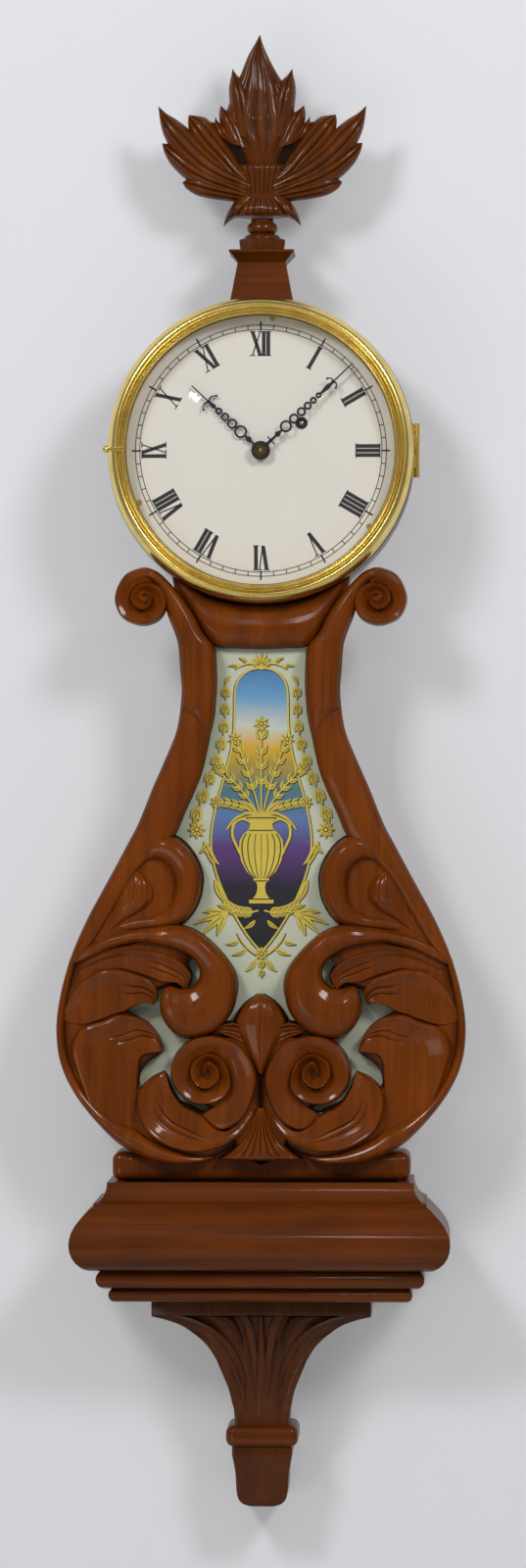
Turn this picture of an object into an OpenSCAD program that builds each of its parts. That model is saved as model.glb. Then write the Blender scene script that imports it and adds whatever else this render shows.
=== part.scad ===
// Lyre wall clock, weight driven, with a hinged bezel and a carved front.
// Millimetres, +Z up, the front faces -Y, and the wall is the plane Y = 0.
// The origin is the hanging hole at the wall face of the backboard.
// Depths are measured from the wall towards the front.

/* [Mount] */
// Diameter of the hanging hole
hang_d = 10; // [6:0.5:14]
// Height of the hanging hole above the dial centre
hang_rise = 72; // [66:1:78]

/* [Case] */
// Thickness of the backboard
back_t = 12; // [10:0.5:14]
// Depth of the back of the carved front
case_d = 72; // [71:0.5:76]
// Thickness of the lyre's curved sides
side_t = 8; // [6:0.5:10]
// Step of the sides inside the edge of the carved front
side_step = 3; // [2:0.5:5]
// Greatest width of the lyre
lyre_w = 288; // [284:1:296]
// Depth of the lyre's foot below the dial centre
lyre_drop = 505; // [500:1:515]
// Thickness of the board of the carved front
front_t = 8; // [6:0.5:10]
// Height of the carved relief above its board
relief_h = 12; // [8:0.5:14]
// Thickness of the glass tablet
tablet_t = 3; // [2:0.25:4]
// Thickness of the partition between pendulum and weight
partition_t = 3; // [2:0.5:4]
// Radius of a case screw
screw_r = 1.8; // [1.5:0.1:2.2]

/* [Head] */
// Outside radius of the wooden drum
drum_r = 107.8; // [106:0.2:110]
// Thickness of the drum's wall
drum_wall = 17; // [15:0.5:19]
// Depth of the drum's front
drum_d = 78; // [77:0.5:82]
// Half width of the throat in the drum's foot
throat_half = 46; // [44:0.5:48]

/* [Bezel] */
// Step of the bezel inside the drum's edge
bezel_step = 0.5; // [0.3:0.1:1]
// Height of the bezel ring
bezel_h = 21; // [19:0.5:24]
// Width of the bezel's face, from its outside to the sight edge
bezel_w = 12.3; // [11.3:0.1:14.3]
// Thickness of the bezel's glass
glass_t = 2.5; // [2:0.25:3]
// Rise of the domed glass
glass_rise = 10; // [8:0.5:12]
// Radius of a hinge knuckle
knuckle_r = 1.9; // [1.7:0.1:2.2]
// Radius of the hinge pin
hinge_pin_r = 0.9; // [0.7:0.1:1.1]
// Length of the hinge
hinge_l = 38; // [34:1:44]
// Length of the bezel's pull
pull_l = 13; // [11:0.5:15]

/* [Dial] */
// Distance of the dial's edge inside the bezel's outside
dial_in = 7.8; // [6.8:0.1:9]
// Thickness of the dial plate
dial_t = 1.2; // [1:0.1:1.6]
// Distance of the winding hole to the right of the dial centre
wind_x = 28.6; // [28:0.1:30]
// Height of the winding hole above the dial centre
wind_z = 19.4; // [19:0.1:21]
// Length of the minute hand
minute_l = 88.5; // [84:0.5:90]
// Length of the hour hand
hour_l = 66.5; // [62:0.5:70]
// Thickness of a hand
hand_t = 1.2; // [1:0.1:1.5]
// Clockwise angle of the minute hand from twelve
minute_angle = 46.8; // [0:0.1:360]
// Clockwise angle of the hour hand from twelve
hour_angle = 313.1; // [0:0.1:360]

/* [Movement] */
// Depth of the back of the back plate
plate_back_d = 33; // [32:0.5:34]
// Thickness of a movement plate
plate_t = 2; // [1.6:0.1:2.4]
// Distance between the two plates
plate_gap = 26; // [25.5:0.1:26.4]
// Half width of a plate
plate_half = 44; // [43:0.5:46]
// Height of the plates above the dial centre
plate_up = 60; // [58:0.5:62]
// Height of the plates below the dial centre
plate_down = 42; // [41:0.5:45]
// Radius of a train arbor
arbor_r = 1.2; // [1:0.1:1.4]
// Teeth of the great wheel
great_n = 96; // [96]
// Teeth of the centre wheel
centre_n = 80; // [80]
// Teeth of the third wheel
third_n = 72; // [72]
// Teeth of the escape wheel
escape_n = 30; // [30]
// Leaves of a train pinion
leaves = 8; // [8]
// Module of the centre wheel
centre_m = 0.55; // [0.54:0.005:0.56]
// Module of the third wheel
third_m = 0.5; // [0.49:0.005:0.51]
// Tip radius of the escape wheel
escape_r = 12; // [11.5:0.1:12.3]
// Radius of the winding drum under the cable
drum_core_r = 5.5; // [5:0.1:6]
// Diameter of the weight's cable
cable_d = 1.2; // [1:0.1:1.5]

/* [Pendulum and weight] */
// Height of the suspension above the dial centre
hang_up = 46; // [45:0.5:48]
// Distance from the suspension to the centre of the bob
bob_drop = 452; // [445:1:456]
// Radius of the bob
bob_r = 30; // [26:0.5:33]
// Thickness of the bob
bob_t = 12; // [10:0.5:13]
// Radius of the pendulum rod
rod_r = 1.6; // [1.3:0.1:2]
// Height of the weight
weight_h = 110; // [100:1:112]
// Width of the weight
weight_w = 52; // [46:1:54]
// Thickness of the weight
weight_t = 20; // [17:0.5:21]
// Radius of the weight's pulley
pulley_r = 8; // [7:0.5:9]
// Height of the run-down weight's foot above the lyre's foot
weight_rise = 31; // [27:1:35]

/* [Base] */
// Half width of the base at its widest
base_half = 133; // [130:0.5:136]
// Height of the base moulding
base_h = 61; // [58:1:64]
// Height of the apron under the lyre
apron_h = 20; // [18:0.5:22]
// Step of the apron's end inside the top of the moulding
apron_step = 2; // [1:0.5:4]
// Height of the upper bead board
bead_upper_h = 13; // [11:0.5:15]
// Height of the lower bead board
bead_lower_h = 10; // [8:0.5:12]
// Width of the base's side walls
base_wall = 9; // [8:0.5:12]

/* [Bracket] */
// Half width of the bracket's top
bracket_half = 77; // [73:0.5:80]
// Half width of the bracket's foot
bracket_foot = 18.5; // [17:0.5:20]
// Height of the bracket
bracket_h = 90; // [84:1:96]
// Depth of the bracket's top
bracket_d = 74; // [68:1:80]
// Height of the collar under the bracket
collar_h = 15; // [13:0.5:17]
// Half width of the collar
collar_half = 25.5; // [24:0.5:27]
// Height of the drop
drop_h = 43; // [38:1:48]
// Half width of the drop's top
drop_half = 20.7; // [19:0.1:22]

/* [Finial] */
// Height of the plinth
plinth_h = 26; // [23:0.5:29]
// Half width of the plinth's foot
plinth_half = 21.8; // [20.5:0.1:23]
// Half width of the plinth's top
plinth_neck = 16.9; // [16:0.1:18]
// Height of the plinth's cap
cap_h = 8.7; // [7:0.1:10]
// Half width of the plinth's cap
cap_half = 22.9; // [21:0.1:25]
// Height of the turned pedestal
pedestal_h = 23.5; // [21:0.5:26]
// Height of the carved leaf
leaf_h = 131; // [125:1:137]
// Half width of the carved leaf at its side tips
leaf_half = 71; // [66:0.5:74]

/* [Fits] */
// Radial clearance of a running shaft
running = 0.05; // [0.03:0.01:0.08]
// Gap between pieces that move past each other
gap = 0.3; // [0.25:0.05:0.4]
// Gap round a piece that is laid in place
loose = 0.5; // [0.3:0.1:0.8]

/* [Hidden] */
$fn = 64;
// Overshoot of a cut past the face that it opens
cut = 1;
dial_z = -hang_rise;

// Left edge of the lyre from the waist down to the foot, as drawn
lyre_edge = [[-58, -137], [-55.5, -168], [-59, -196], [-76, -236], [-99, -287], [-124, -333],
    [-140, -378], [-144, -405], [-139, -436], [-120, -466], [-97, -488], [-71, -500], [-43, -501],
    [-20, -499], [0, -505]];
// The drawing is brought from its own width and depth to the lyre's
across_scale = lyre_w / 2 / max([for (p = lyre_edge) -p[0]]);
// Radius of the drum in the drawing
drawn_head = 107.8;
down_scale = (lyre_drop - drum_r) / (max([for (p = lyre_edge) -p[1]]) - drawn_head);
function lyre_up(z) = (z + drawn_head) * down_scale - drum_r;
// Left edge of the arm between its volute and the waist
arm_edge = [[-66, -121], [-61, -128], [-58, -137]];
// Upper end of the curved side, inside the drum
side_top = [[-66, -84], [-61, -119]];
// Right edge of the left arm, from the volute to the leaf below it
arm_inner = [[-72, -87], [-56, -103], [-40, -127], [-32, -137], [-31, -167], [-35, -196],
    [-46, -238], [-60, -270]];
// Rolled leaf, great scroll and middle leaf along the tablet
leaf_inner = [[-60, -270], [-47, -284], [-41.5, -302], [-48, -324], [-56, -332]];
scroll_inner = [[-56, -332], [-39, -341], [-20, -362], [-16, -377], [-21, -395]];
middle_inner = [[-21, -395], [-9, -388], [0, -383]];
// Pierced opening between the scroll, the side leaves and the lower volute
side_hole = [[-71, -375], [-75, -388], [-84, -388], [-95, -393], [-83, -399], [-74, -408],
    [-68, -422], [-79, -425], [-85, -431], [-85, -447], [-78, -440], [-66, -436], [-62, -425],
    [-55, -413], [-64, -407], [-69, -398], [-71, -388], [-69, -381]];
// Carved strokes: each point is across, up, half width and share of the relief
arm_stroke = [[-73, -96, 3, 0.5], [-59, -117, 6.5, 0.7], [-47, -140, 10, 0.75], [-43.5, -167, 11, 0.8],
    [-47, -197, 12, 0.8], [-60, -237, 14, 0.8], [-78, -272, 18, 0.7], [-104, -311, 9, 0.6],
    [-119, -336, 8, 0.6], [-132, -370, 8, 0.6], [-136, -405, 8, 0.6], [-131, -433, 8, 0.6],
    [-114, -460, 8, 0.6], [-90, -483, 8, 0.6], [-60, -493, 7, 0.6], [-32, -491, 5, 0.5]];
rolled_stroke = [[-76, -275, 4, 0.8], [-57, -285, 8, 1], [-49, -303, 7.5, 1], [-54, -320, 7, 0.9],
    [-65, -333, 3, 0.6]];
small_stroke = [[-86, -294, 3, 0.6], [-82, -304, 7, 0.8], [-93, -318, 8, 0.8], [-106, -330, 3, 0.5]];
scroll_stroke = [[-131, -350, 3, 0.6], [-105, -344, 8, 0.8], [-80, -344, 9, 0.9], [-56, -346, 10, 1],
    [-37, -356, 11, 1], [-29, -373, 12, 1], [-35, -391, 11, 1], [-48, -399, 10, 0.9]];
upper_leaf_stroke = [[-122, -371, 3, 0.5], [-105, -370, 8, 0.8], [-88, -374, 9, 0.9], [-76, -384, 2.5, 0.6]];
side_leaf_stroke = [[-117, -404, 4, 0.5], [-99, -401, 8, 0.8], [-84, -410, 8, 0.9], [-70, -421, 2, 0.6]];
lower_leaf_stroke = [[-72, -438, 2, 0.5], [-83, -449, 5, 0.7], [-84, -465, 7, 0.8], [-69, -478, 9, 0.9],
    [-46, -482, 9, 0.9], [-23, -475, 8, 0.8], [-9, -463, 3, 0.6]];
band_stroke = [[-36, -414, 4, 0.7], [-19, -418, 5, 0.9], [-8, -430, 5, 0.9], [-6, -446, 4.5, 0.8],
    [-10, -461, 3, 0.6]];
palm_stroke = [[-3, -466, 2, 0.6], [-11, -480, 4.5, 0.9], [-17, -495, 4, 0.6]];
crown_stroke = [[-1, -386, 2, 0.5], [-9, -395, 5, 0.8], [-17, -404, 3, 0.6]];
strokes = [arm_stroke, rolled_stroke, small_stroke, scroll_stroke, upper_leaf_stroke, side_leaf_stroke,
    lower_leaf_stroke, band_stroke, palm_stroke, crown_stroke];
// Turned ends of the scrolls: across, up, radius, share of the relief
volutes = [[-84, -103, 20, 0.9], [-55, -392, 12, 1], [-37, -437, 21, 1]];

// Strokes of the finial leaf, from the left side and up the middle, as drawn
leaf_thick = 11;
leaf_strokes = [[[-8, 16, 7, 0.8], [-30, 40, 11, 0.8], [-52, 64, 9, 0.7], [-71, 82, 1.5, 0.3]],
    [[-20, 36, 6, 0.7], [-38, 59, 8, 0.6], [-50, 75, 1.5, 0.3]],
    [[-20, 28, 7, 0.7], [-48, 42, 10, 0.6], [-68, 55, 1.5, 0.3]],
    [[-10, 16, 6, 0.7], [-35, 23, 9, 0.6], [-54, 28, 1.5, 0.3]],
    [[-6, 22, 7, 0.8], [-18, 52, 8, 0.7], [-26, 71, 6, 0.6], [-29, 83, 1.5, 0.3]],
    [[-5, 28, 8, 0.9], [-13, 67, 9, 0.8], [-19, 91, 7, 0.6], [-20, 106, 1.5, 0.3]],
    [[-7, 18, 6, 0.8], [-16, 9, 6, 0.8], [-24, -4, 1.5, 0.4]]];
leaf_spine = [[0, 0, 10, 1], [0, 41, 14, 1], [0, 76, 13, 0.9], [0, 101, 12, 0.8], [0, 131, 1.5, 0.3]];
leaf_across = leaf_half / max([for (s = leaf_strokes, p = s) -p[0]]);
leaf_up = leaf_h / max([for (p = leaf_spine) p[1]]);

// Depths of the head, from the wall
bezel_r = drum_r - bezel_step;
sight_r = bezel_r - bezel_w;
dial_r = bezel_r - dial_in;
bezel_d = drum_d + gap;
dial_gap = 1.5;
lip_w = 3;
lip_h = 8;
glass_r = sight_r + lip_w;
glass_d = bezel_d + bezel_h - lip_h - glass_t;
ring_h = 3;
hinge_x = drum_r + knuckle_r + 0.1;
hinge_d = drum_d + gap / 2;
hinge_leaf_t = 1;
hinge_leaf_w = 9;
knuckles = 5;
knuckle_gap = 0.25;
knuckle_l = (hinge_l - (knuckles - 1) * knuckle_gap) / knuckles;

// Layers of the movement, from the wall
front_plate_d = plate_back_d + plate_t + plate_gap;
great_d = plate_back_d + plate_t + 3;
great_t = 2.5;
ratchet_d = great_d + great_t + 0.5;
ratchet_t = 1.5;
barrel_d = ratchet_d + ratchet_t;
barrel_l = 13;
cable_at = barrel_d + barrel_l / 2;
third_d = great_d + 7;
wheel_t = 2;
centre_d = third_d + 8;
escape_d = centre_d + 4;
escape_t = 1.5;
cannon_d = front_plate_d + plate_t + gap;
minute_d = cannon_d + 1;
hour_d = cannon_d + 7;
hour_hand_d = drum_d + dial_t + 2.3;
minute_hand_d = hour_hand_d + hand_t + 2.4;
nut_d = minute_hand_d + hand_t + running;
nut_h = 3;
cannon_r = arbor_r + 0.9;
hour_pipe_r = cannon_r + 1.2;
collet_r = 6.7;
nut_r = 5;

// Centres of the train, across and up from the dial centre
wind_at = [wind_x, wind_z];
great_m = 2 * norm(wind_at) / (great_n + leaves);
third_reach = centre_m * (centre_n + leaves) / 2;
escape_reach = third_m * (third_n + leaves) / 2;
escape_at = [-8, 26];
third_at = meeting([0, 0], third_reach, escape_at, escape_reach);
cannon_n = 12;
minute_n = 36;
minute_leaves = 10;
hour_n = 40;
motion_reach = 18;
stud_at = motion_reach * [cos(225), sin(225)];
cannon_m = 2 * motion_reach / (cannon_n + minute_n);
hour_m = 2 * motion_reach / (minute_leaves + hour_n);
strand_r = drum_core_r + cable_d / 2;
strand_x = wind_x - strand_r;
pulley_x = strand_x - pulley_r - cable_d / 2;
anchor_x = pulley_x - pulley_r - cable_d / 2;
anchor_z = -plate_down + 6;
weight_gap = 12;
weight_down = lyre_drop - weight_rise;
pulley_z = -weight_down + weight_h + weight_gap + pulley_r;
pulley_t = 5;
leg_r = 4;
pillar_r = 3;
pillars_at = [for (x = [-1, 1], z = [5 - plate_down, plate_up - 5]) [x * (plate_half - 5), z]];
pendulum_d = back_t + (plate_back_d - back_t) / 2;

// Heights of the base, the bracket and the finial, from the dial centre
base_z = -lyre_drop - 8;
bead_upper_z = base_z - base_h;
bead_lower_z = bead_upper_z - bead_upper_h;
bracket_z = bead_lower_z - bead_lower_h;
collar_z = bracket_z - bracket_h;
drop_z = collar_z - collar_h;
base_recess = 13;
cove_w = 9;
cove_h = 14;
fillet_w = 2;
fillet_h = 3.5;
ovolo_out = 15;
under_w = 14;
base_top_half = base_half - ovolo_out - fillet_w - cove_w;
apron_half = base_top_half - apron_step;
base_inner = apron_half - base_wall;
under_h = 16;
bead_step = 4;
bead_set = 8.5;
cap_z = drum_r + plinth_h;
pedestal_z = cap_z + cap_h;
leaf_z = pedestal_z + pedestal_h - 2;
finial_d = 45;
dowel_r = 3.5;
dowel_in = 14;

// Vectors and curves
function unit(v) = v / norm(v);
function turned_left(v) = [-v[1], v[0]];
function flip(p) = [-p[0], p[1]];
function reversed(p) = [for (i = [len(p) - 1:-1:0]) p[i]];
function curve_at(a, b, c, d, t) = 0.5 * (2 * b + (c - a) * t + (2 * a - 5 * b + 4 * c - d) * t * t
    + (3 * b - a - 3 * c + d) * t * t * t);
function curve(p, steps) = let (m = len(p) - 1) [for (i = [0:m - 1], k = [0:steps - 1])
    curve_at(p[max(i - 1, 0)], p[i], p[i + 1], p[min(i + 2, m)], k / steps), p[m]];
function tangent(p, i) = unit([for (k = [0, 1]) p[min(i + 1, len(p) - 1)][k] - p[max(i - 1, 0)][k]]);
function shifted(p, d) = [for (i = [0:len(p) - 1]) p[i] + d * turned_left(tangent(p, i))];
function lyre_size(p) = [for (q = p) [q[0] * across_scale, lyre_up(q[1])]];
function meeting(a, ra, b, rb) = let (s = norm(b - a), along = (s * s + ra * ra - rb * rb) / 2 / s,
    off = sqrt(ra * ra - along * along)) a + along * unit(b - a) + off * turned_left(unit(b - a));
function mirrored_outline(p) = concat(p, [for (q = reversed(p)) flip(q)]);

edge_curve = lyre_size(curve(lyre_edge, 4));
side_curve = lyre_size(curve(concat(side_top, lyre_edge), 4));
inner_steps = 3;
inner_curve = lyre_size(concat(curve(arm_inner, inner_steps), curve(leaf_inner, inner_steps),
    curve(scroll_inner, inner_steps), curve(middle_inner, inner_steps)));

// Places: a slab stands on a depth, a turned piece on a depth and a centre
module slab(depth, thick) translate([0, -depth, dial_z]) rotate([90, 0, 0]) linear_extrude(thick) children();
module turned(depth, at = [0, 0]) translate([at[0], -depth, dial_z + at[1]]) rotate([90, 0, 0])
    rotate_extrude() children();
module rod(depth, length, r, at = [0, 0]) translate([at[0], -depth, dial_z + at[1]]) rotate([90, 0, 0])
    cylinder(h = length, r = r);
module upright(z, depth) translate([0, -depth, dial_z + z]) children();
// A solid whose front outline and side outline are given from top to bottom
module crossed(halves, depths) {
    far = max([for (p = depths) p[0]]);
    wide = max([for (p = halves) p[0]]);
    intersection() {
        slab(0, far) polygon(mirrored_outline(halves));
        translate([-wide, 0, dial_z]) rotate([90, 0, 90]) linear_extrude(2 * wide)
            polygon(concat([[0, depths[0][1]]], [for (p = depths) [-p[0], p[1]]],
                [[0, depths[len(depths) - 1][1]]]));
    }
}
// Carved pieces that run into each other
module carved() resize([0, 0, 0]) children();
stroke_steps = 2;
// A carved stroke along a drawn line, raised on a face or rounded on both sides
module stroke(path, depth, rise, sink, both = false) {
    s = curve(path, stroke_steps);
    front = [[-1, 0], [-0.6, 0.75], [0, 1], [0.6, 0.75], [1, 0]];
    back = both ? [[0.6, -0.75], [0, -1], [-0.6, -0.75]] : [[1, -sink / rise], [-1, -sink / rise]];
    section = concat(front, back);
    n = len(section);
    points = [for (i = [0:len(s) - 1], q = section) let (across = turned_left(tangent(s, i)),
        high = q[1] > 0 || both ? s[i][3] : 1, out = s[i][2] * q[0])
        [s[i][0] + across[0] * out, -depth - rise * high * q[1], s[i][1] + across[1] * out]];
    walls = [for (i = [0:len(s) - 2], k = [0:n - 1]) let (a = i * n + k, b = i * n + (k + 1) % n)
        each [[a, b, a + n], [b, b + n, a + n]]];
    ends = [[for (k = [n - 1:-1:0]) k], [for (k = [0:n - 1]) (len(s) - 1) * n + k]];
    polyhedron(points = points, faces = concat(walls, ends));
}
module both_sides() {
    children();
    mirror([1, 0, 0]) children();
}

// Outlines of the lyre, across and up from the dial centre
function inset(d) = [for (q = shifted(side_curve, d)) [min(q[0], 0), q[1]]];
function closed_outline(p) = concat(p, [for (q = reversed(p)) if (q[0] < 0) flip(q)]);
lyre_inside = side_step + side_t;
module lyre_outline(d) polygon(closed_outline(inset(d)));
module below(z) translate([-lyre_w, z - lyre_drop]) square([2 * lyre_w, lyre_drop]);
module band(top, bottom) translate([-lyre_w, bottom]) square([2 * lyre_w, top - bottom]);

// Case
case_screws_at = [for (a = [40, 140, 215, 325]) (drum_r - drum_wall / 2) * [cos(a), sin(a)]];
head_r = 3.4;
head_h = 2;
bite = 20;
module case_screw_holes() for (p = case_screws_at) rod(0, back_t + bite, screw_r, p);
module case_screw_heads(extra) for (p = case_screws_at) rod(-extra, head_h + extra, head_r, p);
module backboard() color("saddlebrown") difference() {
    slab(0, back_t) union() {
        circle(r = drum_r - bezel_step - side_step);
        lyre_outline(side_step + side_t / 2);
        translate([-base_inner, bead_upper_z]) square([2 * base_inner, base_h + apron_h]);
    }
    rod(-cut, back_t + 2 * cut, hang_d / 2, [0, hang_rise]);
    case_screw_holes();
    case_screw_heads(cut);
}
module case_screws() color("dimgray") {
    case_screw_holes();
    case_screw_heads(0);
}
throat_rim = 9;
module head_drum() color("sienna") difference() {
    turned(back_t) translate([drum_r - drum_wall, 0]) square([drum_wall, drum_d - back_t]);
    slab(back_t - cut, drum_d - back_t - throat_rim + cut) translate([-throat_half, -drum_r - cut])
        square([2 * throat_half, drum_r]);
    case_screw_holes();
    dial_screw_shanks();
    hinge_screw_shanks();
}
module side_strip() difference() {
    polygon(concat(inset(side_step), reversed(inset(lyre_inside))));
    circle(r = drum_r);
}
module lyre_side_left() color("sienna") slab(back_t, case_d - back_t) side_strip();
module lyre_side_right() color("sienna") mirror([1, 0, 0]) slab(back_t, case_d - back_t) side_strip();
// Tablet's top edge below the drum, behind the yoke rail
tablet_below = 18;
tablet_top = -drum_r - tablet_below;
module glass_tablet() color("lightsteelblue") slab(case_d - tablet_t, tablet_t) intersection() {
    lyre_outline(lyre_inside + loose);
    below(tablet_top);
}
retainer = 6;
retainer_l = 34;
retainers_at = lyre_size([[0, -180], [0, -310], [0, -430]]);
module tablet_retainers() color("peru") slab(case_d - tablet_t - retainer, retainer)
    for (p = retainers_at) intersection() {
        difference() {
            lyre_outline(lyre_inside);
            lyre_outline(lyre_inside + retainer);
        }
        band(p[1], p[1] - retainer_l);
    }
partition_d = plate_back_d + 1;
partition_below = 4;
module weight_partition() color("burlywood") slab(partition_d, partition_t) intersection() {
    lyre_outline(lyre_inside);
    below(-drum_r - partition_below);
}
yoke_rise = 4;
// Stretches of the arm's inner edge that the yoke rail fills between
yoke_spans = 3;
module volute_boards() for (side = [0, 1]) mirror([side, 0]) translate(lyre_size(volutes)[0])
    circle(r = volutes[0][2] + volute_lip, $fn = 40);
module yoke_rail() color("chocolate") slab(case_d, front_t + yoke_rise) difference() {
    polygon(mirrored_outline([for (i = [0:yoke_spans * inner_steps]) inner_curve[i]]));
    circle(r = drum_r);
    volute_boards();
}

// Carved front of the lyre
function stroke_size(p) = [for (q = p) [q[0] * across_scale, lyre_up(q[1]) + dial_z,
    q[2] * across_scale, q[3]]];
board_curve = concat(lyre_size(curve(arm_edge, 2)), edge_curve);
front_d = case_d + front_t;
// Depth at which a carved edge runs into its board
edge_in = 0.4;
// Board left round the foot of an upper volute
volute_lip = 0.8;
module volute(v) {
    at = lyre_size([v])[0];
    high = relief_h * v[3];
    turned(front_d - cut, at) polygon([[0, 0], [v[2], 0], [v[2], cut + high * 0.4],
        [v[2] * 0.86, cut + high * 0.7], [v[2] * 0.68, cut + high * 0.6], [v[2] * 0.6, cut + high * 0.25],
        [v[2] * 0.5, cut + high * 0.35], [v[2] * 0.42, cut + high * 0.9], [v[2] * 0.22, cut + high],
        [0, cut + high]]);
}
module lyre_front() color("chocolate") carved() {
    slab(case_d, front_t) difference() {
        union() {
            polygon(closed_outline(concat(reversed(inner_curve), board_curve)));
            volute_boards();
        }
        for (side = [0, 1]) mirror([side, 0]) polygon(lyre_size(side_hole));
        circle(r = drum_r + gap);
    }
    both_sides() {
        for (s = strokes) stroke(stroke_size(s), front_d - edge_in, relief_h + edge_in, cut);
        for (v = volutes) volute(v, $fn = 20);
    }
}

// Base and bracket
ovolo_h = base_h - cove_h - fillet_h - under_h;
base_profile = [for (a = [0:15:90]) [base_top_half + cove_w * (1 - cos(a)), base_z - cove_h * sin(a)],
    [base_half - ovolo_out, base_z - cove_h], for (a = [0:15:90]) [base_half - ovolo_out * (1 - sin(a)),
    base_z - cove_h - fillet_h - ovolo_h * (1 - cos(a))], for (a = [15:15:90])
    [base_half - under_w * (1 - cos(a)), base_z - base_h + under_h * (1 - sin(a))]];
function recessed(p) = [for (q = p) [q[0] - base_recess, q[1]]];
function bead_profile(half, z, h) = [for (a = [-90:15:90]) [half - h / 2 * (1 - cos(a)),
    z - h / 2 * (1 + sin(a))]];
module base_moulding() color("saddlebrown") difference() {
    crossed(base_profile, recessed(base_profile));
    slab(-cut, base_inner - base_recess + cut) translate([-base_inner, bead_upper_z - cut])
        square([2 * base_inner, base_h + 2 * cut]);
}
apron_round = 12;
module base_apron() color("saddlebrown") slab(back_t, case_d - back_t) difference() {
    polygon(mirrored_outline(concat([for (a = [90:-15:0]) [apron_half - apron_round * (1 - cos(a)),
        base_z + apron_h - apron_round * (1 - sin(a))]], [[apron_half, base_z]])));
    lyre_outline(side_step);
}
bead_upper_half = base_half - under_w - bead_step;
bead_lower_half = bead_upper_half - bead_set;
bead_upper_profile = bead_profile(bead_upper_half, bead_upper_z, bead_upper_h);
bead_lower_profile = bead_profile(bead_lower_half, bead_lower_z, bead_lower_h);
module base_bead_upper() color("saddlebrown") crossed(bead_upper_profile, recessed(bead_upper_profile));
module base_bead_lower() color("saddlebrown") crossed(bead_lower_profile, recessed(bead_lower_profile));
bracket_slab = 11;
bracket_foot_d = 52;
function hollow_side(wide, foot) = concat([[wide, bracket_z]], [for (t = [1:-0.1:0])
    [foot + (wide - foot) * (1 - sqrt(1 - t * t)), collar_z + (bracket_h - bracket_slab) * t]]);
module bracket_console() color("sienna") crossed(hollow_side(bracket_half, bracket_foot),
    hollow_side(bracket_d, bracket_foot_d));
// Collar and drop stand out at the sides and at the front alike
foot_set = bracket_foot_d - bracket_foot;
function set_out(p) = [for (q = p) [q[0] + foot_set, q[1]]];
collar_cove = 4;
collar_round = (collar_h - collar_cove) / 2;
collar_profile = concat([[bracket_foot, collar_z], [collar_half - collar_round, collar_z - collar_cove]],
    [for (a = [-75:15:90]) [collar_half - collar_round * (1 - cos(a)),
    collar_z - collar_cove - collar_round * (1 + sin(a))]]);
module bracket_collar() color("sienna") crossed(collar_profile, set_out(collar_profile));
drop_neck = 3;
drop_round = 10;
drop_foot = drop_half - drop_neck;
drop_profile = concat([for (t = [0:0.25:1]) [drop_half - drop_neck * t * t, drop_z - drop_h / 3 * t]],
    [for (a = [0:15:90]) [drop_foot - drop_round * (1 - cos(a)),
    drop_z - drop_h + drop_round * (1 - sin(a))]]);
module bracket_drop() color("sienna") crossed(drop_profile, set_out(drop_profile));

// Finial
module dowel_hole() upright(cap_z - dowel_in, finial_d)
    cylinder(h = dowel_in + cap_h + dowel_in, r = dowel_r);
// A block with the same outline from the front and from the side
module square_block(halves) {
    wide = max([for (p = halves) p[0]]);
    intersection() {
        slab(finial_d - wide, 2 * wide) polygon(mirrored_outline(halves));
        translate([-wide, -finial_d, dial_z]) rotate([90, 0, 90]) linear_extrude(2 * wide)
            polygon(mirrored_outline(halves));
    }
}
plinth_slope = (plinth_half - plinth_neck) / plinth_h;
saddle = 6;
module finial_plinth() color("saddlebrown") difference() {
    square_block([[plinth_neck, cap_z], [plinth_half + plinth_slope * saddle, drum_r - saddle]]);
    rod(0, 3 * finial_d, drum_r);
    dowel_hole();
}
module plinth_cap() color("saddlebrown") difference() {
    square_block(concat([[cap_half, pedestal_z], [cap_half, pedestal_z - cap_h * 0.25]], [for (a = [90:-15:0])
        [plinth_neck + (cap_half - plinth_neck - 1) * (1 - cos(a)), cap_z + cap_h * 0.7 * sin(a)]]));
    dowel_hole();
}
pedestal_r = 16.2;
neck_r = 10.8;
foot_h = 9.7;
module finial_pedestal() color("saddlebrown") difference() {
    upright(pedestal_z, finial_d) rotate_extrude() polygon(concat([[0, 0], [pedestal_r, 0],
        [pedestal_r, foot_h * 0.5], [neck_r * 0.8, foot_h]], [for (a = [-60:20:60]) [neck_r * cos(a),
        (pedestal_h + foot_h) / 2 + (pedestal_h - foot_h) / 2 * sin(a) / sin(60)]], [[0, pedestal_h]]));
    dowel_hole();
}
module finial_dowel() color("tan") dowel_hole();
function leaf_size(p) = [for (q = p) [q[0] * leaf_across, dial_z + leaf_z + q[1] * leaf_up,
    q[2] * leaf_across, q[3]]];
module finial_leaf() color("saddlebrown") carved() difference() {
    union() {
        stroke(leaf_size(leaf_spine), finial_d, leaf_thick, 0, true);
        both_sides() for (s = leaf_strokes) stroke(leaf_size(s), finial_d, leaf_thick, 0, true);
    }
    upright(pedestal_z, finial_d) cylinder(h = pedestal_h, r = neck_r + loose);
}

// Bezel
pull_tilt = 30;
pull_r = 1.3;
pull_ball_r = 2.6;
pull_in = 4;
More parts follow.
